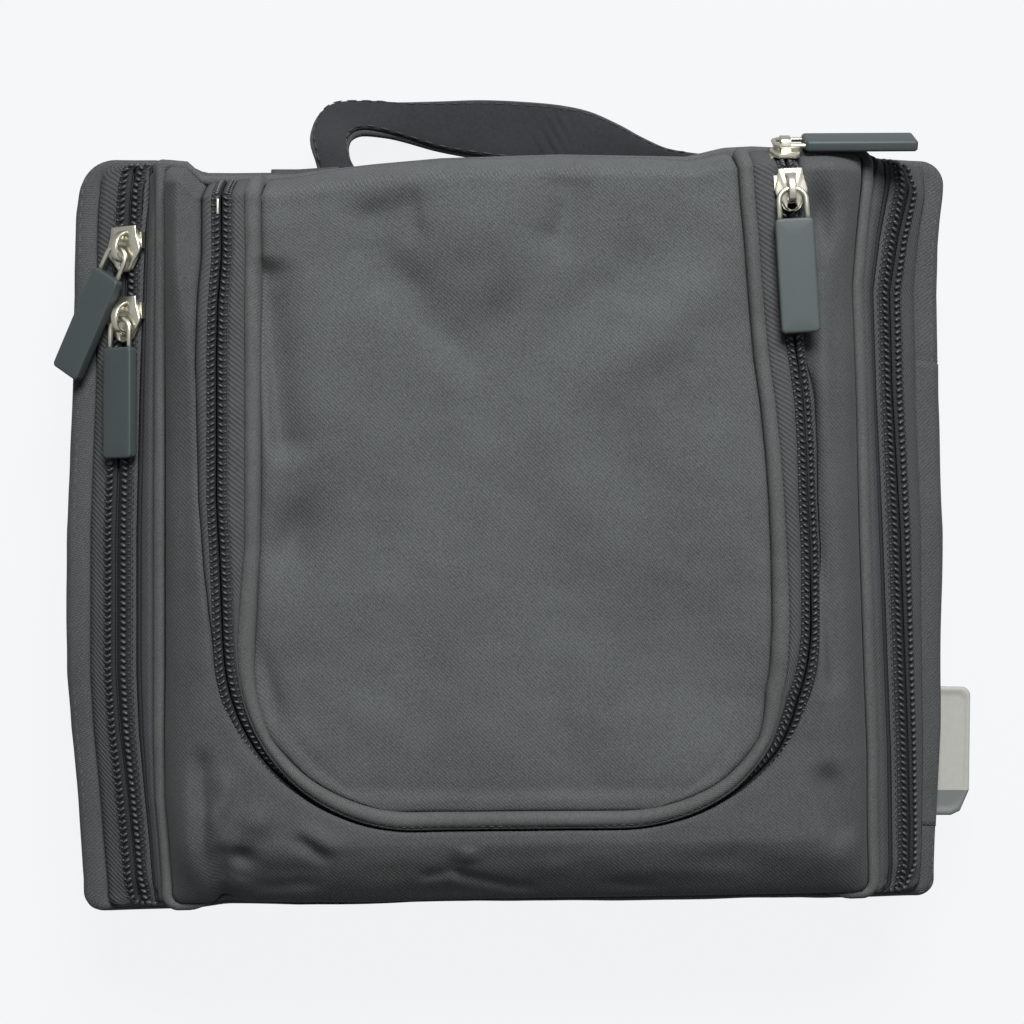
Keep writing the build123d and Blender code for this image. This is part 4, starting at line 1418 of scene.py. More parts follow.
    def tag(self) -> None:
        """The bare moulded tag sewn to the right side, with a soft rim and one cut corner."""
        half, low, high, thick = 7.3, -79.5, -43.5, 1.3
        x0, inner, z0 = 112.3, 113.3, 33.9
        outline = []
        for centre, radius, start in (
            ((x0 + half * 2 - 2.4, high - 2.6), 2.4, 0),
            ((inner, high - 0.3), 0.3, 90),
            ((inner, low + 0.3), 0.3, 180),
        ):
            outline += arc(centre, radius, start, 90, 7)
        outline += [(x0 + half * 1.25, low), (x0 + half * 1.6, low + 1.2), (x0 + half * 1.95, low + 7.0)]
        ring = np.array(outline)
        middle = np.array([x0 + half, (low + high) / 2])
        loops = []
        for share, height in (
            (0.05, 0.15), (0.7, 0.15), (0.8, 0.2), (0.86, 0.42), (0.93, 0.5), (0.985, 0.38), (1.0, 0.1),
            (1.0, -0.1), (0.985, -0.4), (0.9, -0.5), (0.05, -0.5),
        ):
            shrunk = middle + (ring - middle) * (1 - (1 - share) * np.array([1.0, 0.55]))
            loops.append(np.column_stack([shrunk, np.full(len(ring), z0 + thick * height)]))
        tag = Draft().rings(loops, flat=True).build("side_tag_rubber")
        dress(tag, self.wardrobe.tag, TRAY, "tag_rubber", "side_tag")

    def anchors(self) -> None:
        """The two fabric tabs that hold the handle."""
        for side, name in ((-1, "left"), (1, "right")):
            x, y, _ = SKIN.even_loop(33).T
            chosen = np.where((y > 95) & (np.abs(x - side * 58) < 9.4))[0]
            heights = np.linspace(25, 41, 12)
            front = [SKIN.loop(z, 0.3 if z in (heights[0], heights[-1]) else 1.45)[chosen] for z in heights]
            back = [SKIN.loop(z, 0.1)[chosen] for z in heights]
            node = f"handle_anchor_{name}"
            dress(Draft().slab(front, back).build(node + "_cloth"), self.wardrobe.strap, TRAY, "handle_web", node)

    def net_pocket(self) -> None:
        """The net pocket inside the back, with its bound top edge."""
        pocket = flat_patch("mesh_pocket_net", (-85, 85), (-85, 30), 5.95, 0.9, 0.7, self.folds)
        dress(pocket, self.wardrobe.net, TRAY, "mesh", "mesh_pocket")
        edge = flat_patch("mesh_pocket_edge", (-85, 85), (30, 38), 5.95, 1.7, 0.2, self.folds)
        dress(edge, self.wardrobe.binding, TRAY, "binding", "mesh_pocket_binding")

    def loops(self) -> None:
        """Four elastic loops sewn across the back in one strip."""
        path = [(-86, 0.6), (-80, 0.6)]
        for centre in (-63, -21, 21, 63):
            for turn in np.linspace(180, 0, 17):
                angle = math.radians(turn)
                reach = 15.3 * math.copysign(abs(math.cos(angle)) ** 0.55, math.cos(angle))
                path.append((centre + reach, 0.7 + 11.6 * math.sin(angle) ** 0.7))
        path += [(80, 0.6), (86, 0.6)]
        line = np.array(path)
        across = np.linspace(-11, 11, 9)
        tangent = unit(np.gradient(line, axis=0))
        normal = np.stack([-tangent[:, 1], tangent[:, 0]], axis=1)
        floor, middle = 6.0, 73.0
        sides = []
        for lift in (0.55, -0.55):
            x, z = (line + normal * lift).T
            sides.append([np.column_stack([x, np.full(len(line), middle + shift), floor + z]) for shift in across])
        strip = Draft().slab(*sides).build("elastic_loop_strip")
        dress(strip, self.wardrobe.binding, TRAY, "binding", "elastic_loops")


def flat_patch(
    name: str, across: tuple, up: tuple, z: float, thickness: float, puff: float, folds: Noise, down: bool = False
) -> bpy.types.Object:
    """A cloth patch sewn to a panel, a little puffed between its sewn edges.

    Args:
        name: The new object's name.
        across: Its left and right edge.
        up: Its lower and upper edge.
        z: Height of the panel that it is sewn to.
        thickness: Thickness of the cloth.
        puff: How far its middle stands off.
        folds: Noise for its ripples.
        down: Whether it hangs under the panel instead of lying on it.

    Returns:
        The patch.
    """
    columns = np.linspace(*across, 60)
    rows = np.linspace(*up, max(int((up[1] - up[0]) / 3), 5))
    x, y = np.meshgrid(columns, rows)
    inset_x = np.minimum(x - across[0], across[1] - x)
    inset_y = np.minimum(y - up[0], up[1] - y)
    swell = ramp(inset_x, 0, 22) * ramp(inset_y, 0, 14)
    places = np.stack([x, y, np.zeros_like(x)], axis=-1)
    ripple = 1 + 0.5 * folds.at(places * (1, 0.6, 1), 16)
    rim = ramp(np.minimum(inset_x, inset_y), -0.5, 1.2)
    lift = thickness * (0.4 + 0.6 * rim) + puff * swell * ripple
    sign = -1 if down else 1
    front = np.stack([x, y, z + sign * lift], axis=-1)
    back = np.stack([x, y, z + sign * (0.03 + 0.9 * puff * swell * ripple)], axis=-1)
    return Draft().slab(front, back, flat=np.stack([x, y], axis=-1)).build(name)


@dataclass
class MainZip:
    """The zip that runs up the left, over the top and down the right, and the cloth hinge below it."""

    wardrobe: Wardrobe
    beads: SeamTree
    split: float = 49.0
    hinge_half: float = 88.0
    pitch: float = 1.75
    row: float = 2.1

    def build(self) -> None:
        """Build both halves and the hinge."""
        self.half(-1, TRAY, "rear", TRAY_SEAM)
        self.half(1, LID, "front", LID_SEAM)
        self.hinge()

    def open_order(self) -> Array:
        """Indices round the loop from the hinge's right end to its left end, leaving the hinge out."""
        loop = SKIN.even_loop(self.split)
        hinge = (loop[:, 1] < -90) & (np.abs(loop[:, 0]) < self.hinge_half)
        start = np.where(hinge)[0].max() + 1
        order = (np.arange(SKIN.count) + start) % SKIN.count
        return order[~hinge[order]]

    def half(self, side: int, body: str, name: str, seam: float) -> None:
        """One half of the zip: its tape, its dark bed and its row of coil.

        Args:
            side: -1 for the tray's half and 1 for the lid's.
            body: The body that carries it.
            name: Start of the pieces' names.
            seam: Height of the seam at the tape's far edge.
        """
        order = self.open_order()
        hide = 1.6 * ramp(np.abs(SKIN.even_loop(self.split)[:, 1]), 94, 99)
        profile = (
            ((0, -2.3), (0.08, -2.1), (0.14, 0.15), (0.3, 0.1), (0.55, 0.05), (0.8, 0.0))
            if side < 0
            else (
                (0, -1.8), (0.06, -1.4), (0.1, 0.5), (0.2, 0.45), (0.25, 0.0), (0.33, -0.05), (0.36, -1.1),
                (0.49, -1.1), (0.52, -0.05), (0.6, 0.0), (0.8, 0.0),
            )
        )
        even = SKIN.even_loop(self.split)
        hollow = 2.6 * np.exp(-(((even[:, 1] - 92) / 5) ** 2)) * (even[:, 0] < 0) * (side > 0)
        rows = [
            SKIN.loop(
                seam + (self.split - seam) * share,
                lift - hide * min(share * 1.5, 1) - hollow * math.exp(-(((share - 0.38) / 0.2) ** 2)),
            )[order]
            for share, lift in profile
        ]
        rows.append(SKIN.loop(self.split, 0.0 - hide, side * 0.55)[order])
        rows.append(SKIN.loop(self.split, -2.4 - hide, side * 0.55)[order])
        rows.append(SKIN.loop(seam, -2.8)[order])
        tape = Draft().bar(rows).build(f"{name}_zip_tape_cloth")
        dress(tape, self.wardrobe.tape, body, "zip_tape", f"{name}_zip_tape")
        bed = [
            SKIN.loop(self.split, lift - hide, side * reach)[order]
            for lift, reach in ((0.2, 0.4), (0.2, 3.9), (-0.5, 4.2), (-0.5, 0.4))
        ]
        dress(Draft().bar(bed).build(f"{name}_zip_bed"), self.wardrobe.coil, body, "zip_coil")
        # A coil-black strip laid in the groove beside the seam: painted shade, standing in for the shadow in the
        # groove.
        if side > 0:
            cord = [
                SKIN.loop(seam + (self.split - seam) * share, lift - hide * share - 0.4 * hollow)[order]
                for share, lift in ((0.36, -0.6), (0.425, -0.3), (0.49, -0.6), (0.425, -1.3))
            ]
            dress(Draft().bar(cord).build("front_seam_shade_strip"), self.wardrobe.coil, body, "binding")
        out = SKIN.frame_at(self.split)[2][order]
        for part, lift, away, size, slant, nodes in (
            ("row", 0.6, self.row, (2.1, 0.95, 1.25), 0.6, (f"{name}_zip_coil",)),
            ("arms", 0.35, 3.5, (1.1, 0.5, 0.5), -0.5, ()),
        ):
            lines = [SKIN.loop(self.split, lift - hide, side * (away + step))[order] for step in (0, -0.6, 0.6)]
            row = coil_row(
                self.beads, f"{name}_zip_coil_{part}", lines, out, self.pitch, size, slant, self.wardrobe.beads
            )
            dress(row, self.wardrobe.beads, body, "zip_coil", *nodes)
        low = 0.3 * ramp(np.abs(even[:, 1]), 86, 92)
        line = SKIN.loop(self.split, 0.05 - hide - low, side * 4.4)[order]
        thread = self.wardrobe.coil
        stitches = self.beads.stitch(f"{name}_tape_stitches", line, out, self.pitch, (0.9, 0.4, 0.3), thread)
        dress(stitches, thread, body, "zip_coil")

    def hinge(self) -> None:
        """The cloth that joins tray and lid along the bottom edge."""
        loop = SKIN.even_loop(self.split)
        chosen = np.where((loop[:, 1] < -90) & (np.abs(loop[:, 0]) < self.hinge_half + 1.5))[0]
        heights = np.linspace(TRAY_SEAM, LID_SEAM, 15)
        front, back = [], []
        folds = Noise(11)
        for z in heights:
            ripple = 0.35 * folds.at(SKIN.even_loop(z) * (0.5, 0.5, 1), 9)
            crease = -0.7 * math.exp(-(((z - self.split) / 1.2) ** 2))
            front.append(SKIN.loop(z, 0.15 + crease + ripple)[chosen])
            back.append(SKIN.loop(z, -0.9 + crease + ripple)[chosen])
        piece = Draft().slab(front, back).build("hinge_cloth")
        zone = Bend(TRAY, LID, (0, -0.102, 0.0455), (0, -0.102, 0.0525))
        zone.sew(piece, self.wardrobe.shell, "shell_fabric", "rear_hinge_panel", "front_hinge_panel")


@dataclass
class Lid:
    """The front section: piping, the pocket's fixed front, its zip's outer half and the inner wall."""

    wardrobe: Wardrobe
    beads: SeamTree
    folds: Noise = Noise(5)

    def build(self) -> None:
        """Build every piece of the lid."""
        zipper = PocketLine()
        self.piping()
        self.panel(zipper)
        pocket_half(self.wardrobe, self.beads, zipper, 1, LID, "outer", POCKET.edge(zipper.line))
        self.end_stop()
        self.divider()

    def piping(self) -> None:
        """The piping round the front seam, tucked under the front along the bottom."""
        rings = []
        even = SKIN.even_loop(56.5)
        tuck = 2.3 * ramp(-even[:, 1], 95, 99.5) * (1 - ramp(np.abs(even[:, 0]), 80, 90))
        for turn in np.linspace(0, 2 * math.pi, 13)[:-1]:
            rings.append(SKIN.loop(56.5, 0.05 + 1.45 * math.cos(turn) - tuck, 1.65 * math.sin(turn)))
        cord = Draft().rings(rings, wrap=True).build("front_piping_cord")
        dress(cord, self.wardrobe.piping, LID, "piping_fabric", "front_piping")

    def panel(self, zipper: PocketLine) -> None:
        """The fixed front outside the zip, folded down at its edge beside the zip.

        Args:
            zipper: The zip's middle line.
        """
        line, normal = zipper.line, zipper.normal
        start = line + normal * POCKET.edge(line)[:, None]
        reach = np.zeros(len(line))
        high = np.full(len(line), 60.0)
        for _ in range(40):
            test = start + normal * ((reach + high) / 2)[:, None]
            inside = DOME.depth(test[:, 0], test[:, 1])[0] > 0
            reach = np.where(inside, (reach + high) / 2, reach)
            high = np.where(inside, high, (reach + high) / 2)
        shares = 1 - (1 - np.linspace(0, 1, 44)) ** 1.6
        grid = start[None] + normal[None] * (reach[None] * shares[:, None])[..., None]
        x, y = grid[..., 0], grid[..., 1]
        edge = reach[None] * shares[:, None]
        rest = reach[None] - edge
        fold = (1 - 0.8 * zipper.cover) * (-0.5 * np.exp(-edge / 1.6) - 2.0 * np.exp(-edge / 0.5))
        fold = fold - 0.6 * np.exp(-rest / 0.5)
        front = DOME.place(x, y, fold)
        back = DOME.place(x, y, -2.6 + 0 * fold)
        piece = Draft().slab(front, back, flat=np.stack([x, y], axis=-1)).build("front_panel_cloth")
        dress(piece, self.wardrobe.shell, LID, "shell_fabric", "front_panel")

    def end_stop(self) -> None:
        """The small metal stop clamped on the pocket zip's tape at its left top end."""
        rows = []
        for turn in np.linspace(0, 2 * math.pi, 13)[:-1]:
            x = -78.4 + 0.45 * math.cos(turn) + np.zeros(9)
            y = np.linspace(89.6, 94.4, 9)
            swell = np.sin(np.linspace(0.25, math.pi - 0.25, 9)) ** 0.3
            rows.append(DOME.place(x, y, 0.75 + 0.5 * math.sin(turn) * swell))
        dress(Draft().bar(rows).build("pocket_zip_stop"), self.wardrobe.metal, LID, "slider_metal")

    def divider(self) -> None:
        """The padded wall between pocket and main compartment, with its pockets."""
        tray = RearTray(self.wardrobe, self.beads)
        loops = []
        for inward in (95, 70, 45, 20, 8, 3.5):
            loop = tray.closing(51.3, inward, 51.2)
            loop[:, 2] -= 0.25 * ramp(inward, 3, 40) * (1 + self.folds.at(loop, 34))
            loops.append(SKIN.slump.apply(loop))
        for inward in (3.0, 5, 20, 60, 95):
            loops.append(SKIN.slump.apply(tray.closing(51.3, inward, 53.5)))
        panel = Draft().rings(loops, flat=True).build("divider_wall")
        dress(panel, self.wardrobe.lining, LID, "lining", "divider_panel")
        net = flat_patch("divider_pocket_net", (-80, 80), (-80, 20), 51.0, 0.8, 0.6, self.folds, down=True)
        dress(net, self.wardrobe.net, LID, "mesh", "divider_pocket")
        edge = flat_patch("divider_pocket_edge", (-80, 80), (20, 28), 51.0, 1.5, 0.2, self.folds, down=True)
        dress(edge, self.wardrobe.binding, LID, "binding", "divider_pocket_binding")
        inner = flat_patch("organiser_pocket_cloth", (-60, 60), (-70, 10), 53.6, 0.9, 0.6, self.folds)
        dress(inner, self.wardrobe.lining, LID, "lining", "organiser_pocket")
        edge = flat_patch("organiser_pocket_edge", (-60, 60), (10, 18), 53.6, 1.7, 0.2, self.folds)
        dress(edge, self.wardrobe.binding, LID, "binding", "organiser_binding")


def pocket_half(
    wardrobe: Wardrobe, beads: SeamTree, zipper: PocketLine, side: int, body: str, name: str, edge: Array
) -> None:
    """One half of the pocket zip.

    Args:
        wardrobe: The bag's finishes.
        beads: The tree that lays the coil.
        zipper: The zip's middle line.
        side: 1 for the half outside the flap and -1 for the flap's half.
        body: The body that carries it.
        name: End of the pieces' names.
        edge: Where the tape's far edge lies from the middle, along the line.
    """
    pitch = 1.7

    def run(away: object, lift: object) -> Array:
        """A line beside the zip's middle, sunk where the flap hides the zip."""
        return zipper.beside(side * away, lift - 2.6 * zipper.cover)

    start = np.clip(edge - 0.5, 0.45, 2.4)
    far = np.maximum(edge + 0.2, start + 0.25)
    section = [run(0.35, -0.4), run(start, -0.35)]
    for share, lift in ((0.3, -0.3), (0.55, -0.4), (0.8, -0.9), (1.0, -1.8)):
        section.append(run(start + (far - start) * share, lift))
    section += [run(far, -2.0), run(0.35, -2.0)]
    tape = Draft().bar(section).build(f"pocket_tape_{name}_cloth")
    dress(tape, wardrobe.tape, body, "zip_tape", f"pocket_tape_{name}")
    # A coil-black strip along the tape's far edge, under the panel's fold: painted shade, standing in for the fold's
    # shadow.
    if side > 0:
        cord = [run(far - 1.0, -1.1), run(far - 0.5, -0.85), run(far, -1.1), run(far - 0.5, -1.5)]
        dress(Draft().bar(cord).build("pocket_seam_shade_strip"), wardrobe.coil, body, "binding")
    bed = [run(0.25, -0.15), run(2.5, -0.1), run(2.75, -0.4), run(0.25, -0.7)]
    dress(Draft().bar(bed).build(f"pocket_bed_{name}"), wardrobe.coil, body, "zip_coil")
    for part, away, lift, size, slant, nodes in (
        ("row", 1.15, 0.2, (1.7, 0.75, 0.95), 0.7, (f"pocket_coil_{name}",)),
        ("arms", 2.25, 0.0, (1.0, 0.5, 0.4), -0.5, ()),
    ):
        lines = [run(away + step, lift) for step in (0, -0.6, 0.6)]
        out = unit(run(away, lift + 1.0) - lines[0])
        row = coil_row(beads, f"pocket_coil_{name}_{part}", lines, out, pitch, size, slant, wardrobe.beads)
        dress(row, wardrobe.beads, body, "zip_coil", *nodes)


@dataclass
class Flap:
    """The front pocket's door: its padded panel, raised edge band, lining and half of the zip."""

    wardrobe: Wardrobe
    beads: SeamTree

    def build(self) -> None:
        """Build every piece of the flap."""
        zipper = PocketLine()
        self.zip_half(zipper)
        self.band(zipper)
        self.panel(zipper)
        self.top_strip()

    def zip_half(self, zipper: PocketLine) -> None:
        """The flap's half of the pocket zip.

        Args:
            zipper: The zip's middle line.
        """
        reach = POCKET.reach(zipper.line)[0]
        tape_edge = np.minimum(reach + 0.6, 3.6)
        pocket_half(self.wardrobe, self.beads, zipper, -1, FLAP, "inner", tape_edge)
        start = np.minimum(2.7, reach - 0.6)
        section = [zipper.beside(-start, -0.9), zipper.beside(-start - 0.25, 0.1)]
        for share, lift in ((0.2, 0.35), (0.45, 0.4), (0.7, 0.35), (0.9, 0.15), (1.0, -0.5)):
            section.append(zipper.beside(-(start + 0.3 + (reach - start) * share), lift))
        section += [zipper.beside(-reach - 0.3, -1.2), zipper.beside(-start, -1.2)]
        dress(Draft().bar(section).build("flap_tape_cloth"), self.wardrobe.tape, FLAP, "zip_tape")

    def band(self, zipper: PocketLine) -> None:
        """The raised band along the flap's edge, with stitches along its outer border.

        Args:
            zipper: The zip's middle line.
        """
        rows = []
        wobble = Noise(19)
        line = zipper.line
        near, far = POCKET.reach(line)
        for turn in np.linspace(0, math.pi, 13):
            away = near + (far - near) * (1 - math.cos(turn)) / 2
            places = np.column_stack([line, np.full(len(line), turn * 3)])
            rows.append(zipper.beside(-away, -0.7 + 2.3 * math.sin(turn) ** 0.85 + 0.12 * wobble.at(places, 11)))
        rows += [zipper.beside(-far, -1.4), zipper.beside(-near, -1.4)]
        seat, above = zipper.beside(-near - 0.55, 0.75), zipper.beside(-near - 0.55, 1.75)
        thread = self.wardrobe.thread
        row = self.beads.stitch("flap_edge_stitches", seat, above - seat, 2.3, (1.5, 0.4, 0.3), thread)
        dress(row, thread, FLAP, "binding")
        dress(Draft().bar(rows).build("flap_edge_band"), self.wardrobe.piping, FLAP, "piping_fabric", "flap_piping")

    def panel(self, zipper: PocketLine) -> None:
        """The flap's padded cloth and its lining.

        Args:
            zipper: The zip's middle line.
        """
        border = zipper.line - zipper.normal * (POCKET.reach(zipper.line)[1] - 0.3)[:, None]
        low = border[:, 1].min() + 0.05
        left_end, right_end = np.where(border[:, 1] < low)[0][[0, -1]]
        count = 150
        left = pick(border[: left_end + 1], np.linspace(0, left_end, count))
        turned = border[right_end:][::-1]
        right = pick(turned, np.linspace(0, len(turned) - 1, count))
        shares = np.linspace(0, 1, 112)
        grid = left[:, None] * (1 - shares[None, :, None]) + right[:, None] * shares[None, :, None]
        x, y = grid[..., 0], grid[..., 1]
        width = np.linalg.norm(right - left, axis=1)[:, None]
        side_gap = np.minimum(shares[None], 1 - shares[None]) * width
        bottom_gap = y - border[:, 1].min()
        gap = np.minimum(side_gap, np.maximum(bottom_gap, 0))
        swell = 0.9 * ramp(gap, 0, 26) - 1.7 * np.exp(-gap / 0.5) + 0.3 * ramp(gap, 0.5, 4)
        valley = -0.35 * np.exp(-(((gap - 6.5) / 2.2) ** 2)) * ramp(-y, -20, 60)
        front, back = DOME.place(x, y, swell + valley), DOME.place(x, y, -2.0 + 0 * swell)
        flat = np.stack([x, y], axis=-1)
        panel = Draft().slab(front, back, flat).build("flap_panel_cloth")
        dress(panel, self.wardrobe.flap, FLAP, "shell_fabric", "flap_panel")
        upper, lower = DOME.place(x, y, -2.15 + 0 * swell), DOME.place(x, y, -2.7 + 0 * swell)
        lining = Draft().slab(upper, lower, flat).build("flap_lining_cloth")
        dress(lining, self.wardrobe.lining, FLAP, "lining", "flap_lining")

    def top_strip(self) -> None:
        """The narrow cloth that joins the flap to the lid along the top edge."""
        columns = np.linspace(-72.0, 65.0, 70)
        front, back = [], []
        for z, lift in (
            (56.6, -0.9), (57.3, -0.1), (57.9, 0.25), (58.5, 0.35),
            (59.1, 0.35), (59.7, 0.3), (60.3, 0.1), (61.0, -0.3),
        ):
            part = max(z - DOME.base, 0) / DOME.rise
            power = DOME.top_power
            y = DOME.end - DOME.top_width * (1 - (1 - min(part, 1) ** power) ** (1 / power))
            base = np.column_stack([columns, np.full(70, y), np.full(70, z)])
            for rows, height in ((front, lift), (back, -1.3)):
                rows.append(SKIN.slump.apply(base + np.array([0, 0.92, 0.38]) * height))
        piece = Draft().slab(front, back).build("flap_hinge_cloth")
        Bend(LID, FLAP, (0, 0.1, 0.0572), (0, 0.1, 0.0606)).sew(piece, self.wardrobe.shell, "shell_fabric")


@dataclass
class CarryHandle:
    """The stitched carry handle, drooping behind the bag's top edge."""

    wardrobe: Wardrobe
    beads: SeamTree
    outer: tuple = (
        (-55.2, 100.4, 33), (-55.5, 101.8, 32.5), (-56.8, 106.1, 30), (-57.9, 110.1, 26), (-58.1, 114.1, 21),
        (-56.9, 119.0, 15.5), (-54.0, 122.5, 12), (-49.3, 124.0, 9.8), (-41.5, 124.6, 8.6), (-33.5, 124.4, 8),
        (-21.9, 124.7, 7.5), (-10.3, 125.1, 7.2), (1.3, 124.7, 7), (12.9, 123.6, 7.2), (21.6, 121.5, 8),
        (29.4, 117.7, 9.5), (35.9, 113.5, 12.5), (42.5, 109.4, 18), (49.4, 106.9, 25), (55.1, 105.4, 31),
    )
    inner: tuple = (
        (-44.2, 100.2, 34), (-44.2, 100.6, 33.3), (-45.8, 103.6, 31.5), (-46.7, 107.0, 28), (-46.8, 109.9, 24),
        (-45.8, 112.7, 19), (-42.9, 114.2, 15), (-37.6, 113.9, 12.3), (-31.0, 112.3, 10.8), (-21.8, 109.6, 9.8),
        (-11.7, 107.7, 9.2), (1.3, 106.0, 8.8), (12.9, 104.8, 8.8), (21.6, 104.1, 9.5), (29.3, 103.6, 11),
        (35.8, 103.2, 14), (42.4, 102.6, 19), (48.8, 101.8, 25), (53.2, 101.3, 30), (56.1, 101.2, 33),
    )
    strap_thickness: float = 2.2
    pad_thickness: float = 1.5
    zone: Bend = Bend(TRAY, HANDLE, (0, 0.1, 0.0325), (0, 0.1, 0.0235))

    def build(self) -> None:
        """Build the strap, its felt facing and its stitches."""
        steps = np.linspace(0, len(self.outer) - 1, 300)
        outer, inner = self.smooth(np.array(self.outer), steps), self.smooth(np.array(self.inner), steps)
        across = unit(inner - outer)
        along = unit(np.gradient((outer + inner) / 2, axis=0))
        up = unit(np.cross(across, along))
        up *= np.where(up[:, 2:] < 0, -1.0, 1.0)
        width = np.linalg.norm(inner - outer, axis=1)[:, None]
        crown = 0.35 * np.sin(np.linspace(0, 1, 300) * math.pi)[:, None]

        def layer(low: float, high: float, margin: float) -> Array:
            """A closed section between two heights, carried along the strap."""
            rows = []
            for share, height in (
                (0.0, (low + high) / 2), (0.02, high - 0.3), (0.06, high), (0.3, high + 0.1), (0.5, high + 0.15),
                (0.7, high + 0.1), (0.94, high), (0.98, high - 0.3), (1.0, (low + high) / 2), (0.98, low + 0.3),
                (0.94, low), (0.5, low), (0.06, low), (0.02, low + 0.3),
            ):
                place = outer + across * (margin + share * (width - 2 * margin))
                kink = np.exp(-(((place[:, :1] - 14.5 + 6.5 * share) / 0.8) ** 2)) * (height > 0.2)
                rows.append(place + up * (height - 1.3 * kink + crown * (0.5 - abs(share - 0.5))))
            return np.stack(rows)

        strap = Draft().bar(layer(-self.strap_thickness, 0.0, 0.0)).build("handle_strap_web")
        self.zone.sew(strap, self.wardrobe.strap, "handle_web", "handle_strap")
        pad = Draft().bar(layer(-0.1, self.pad_thickness, 0.9)).build("handle_felt_pad")
        self.zone.sew(pad, self.wardrobe.felt, "handle_felt", "handle_pad")
        clear = slice(16, -16)
        thread = self.wardrobe.strap
        for name, share in (("outer", 0.09), ("inner", 0.91)):
            line = outer + across * width * share + up * (self.pad_thickness + 0.1)
            size = (3.2, 0.45, 0.3)
            row = self.beads.stitch(f"handle_stitches_{name}", line[clear], up[clear], 4.2, size, thread)
            self.zone.sew(row, thread, "handle_web")

    def smooth(self, points: Array, steps: Array) -> Array:
        """A smooth curve through given points.

        Args:
            points: The points.
            steps: Positions along them, with fractions.

        Returns:
            Points on the curve.
        """
        padded = np.concatenate([[2 * points[0] - points[1]], points, [2 * points[-1] - points[-2]]])
        low = np.clip(np.floor(steps).astype(int), 0, len(points) - 2)
        t = (steps - low)[:, None]
        a, b, c, d = (padded[low + k] for k in range(4))
        return 0.5 * (2 * b + (c - a) * t + (2 * a - 5 * b + 4 * c - d) * t**2 + (3 * b - a - 3 * c + d) * t**3)


@dataclass(frozen=True)
class Place:
    """Where a piece sits: its middle, the direction across it and the direction out of the bag."""

    name: str
    body: str
    middle: tuple
    across: tuple
    out: tuple

    def to_bag(self, local: Array) -> Array:
        """Carry points from the piece's own frame to the bag's.

        Args:
            local: Points across, along and out of the piece.

        Returns:
            Points on the bag.
        """
        across, out = unit(np.array(self.across)), unit(np.array(self.out))
        axes = (across, np.cross(out, across), out)
        return np.array(self.middle) + sum(local[..., k : k + 1] * axes[k] for k in range(3))


@dataclass(frozen=True)
class PullPlace(Place):
    """Where a pull hangs by its eye, and the nodes that its wire and tab stand for."""

    wire_node: str
    tab_node: str


@dataclass(frozen=True)
class SliderPlace(Place):
    """Where a slider, named as its node, sits on its zip, and the size of its upper plate."""

    low: float
    length: float
    width: float


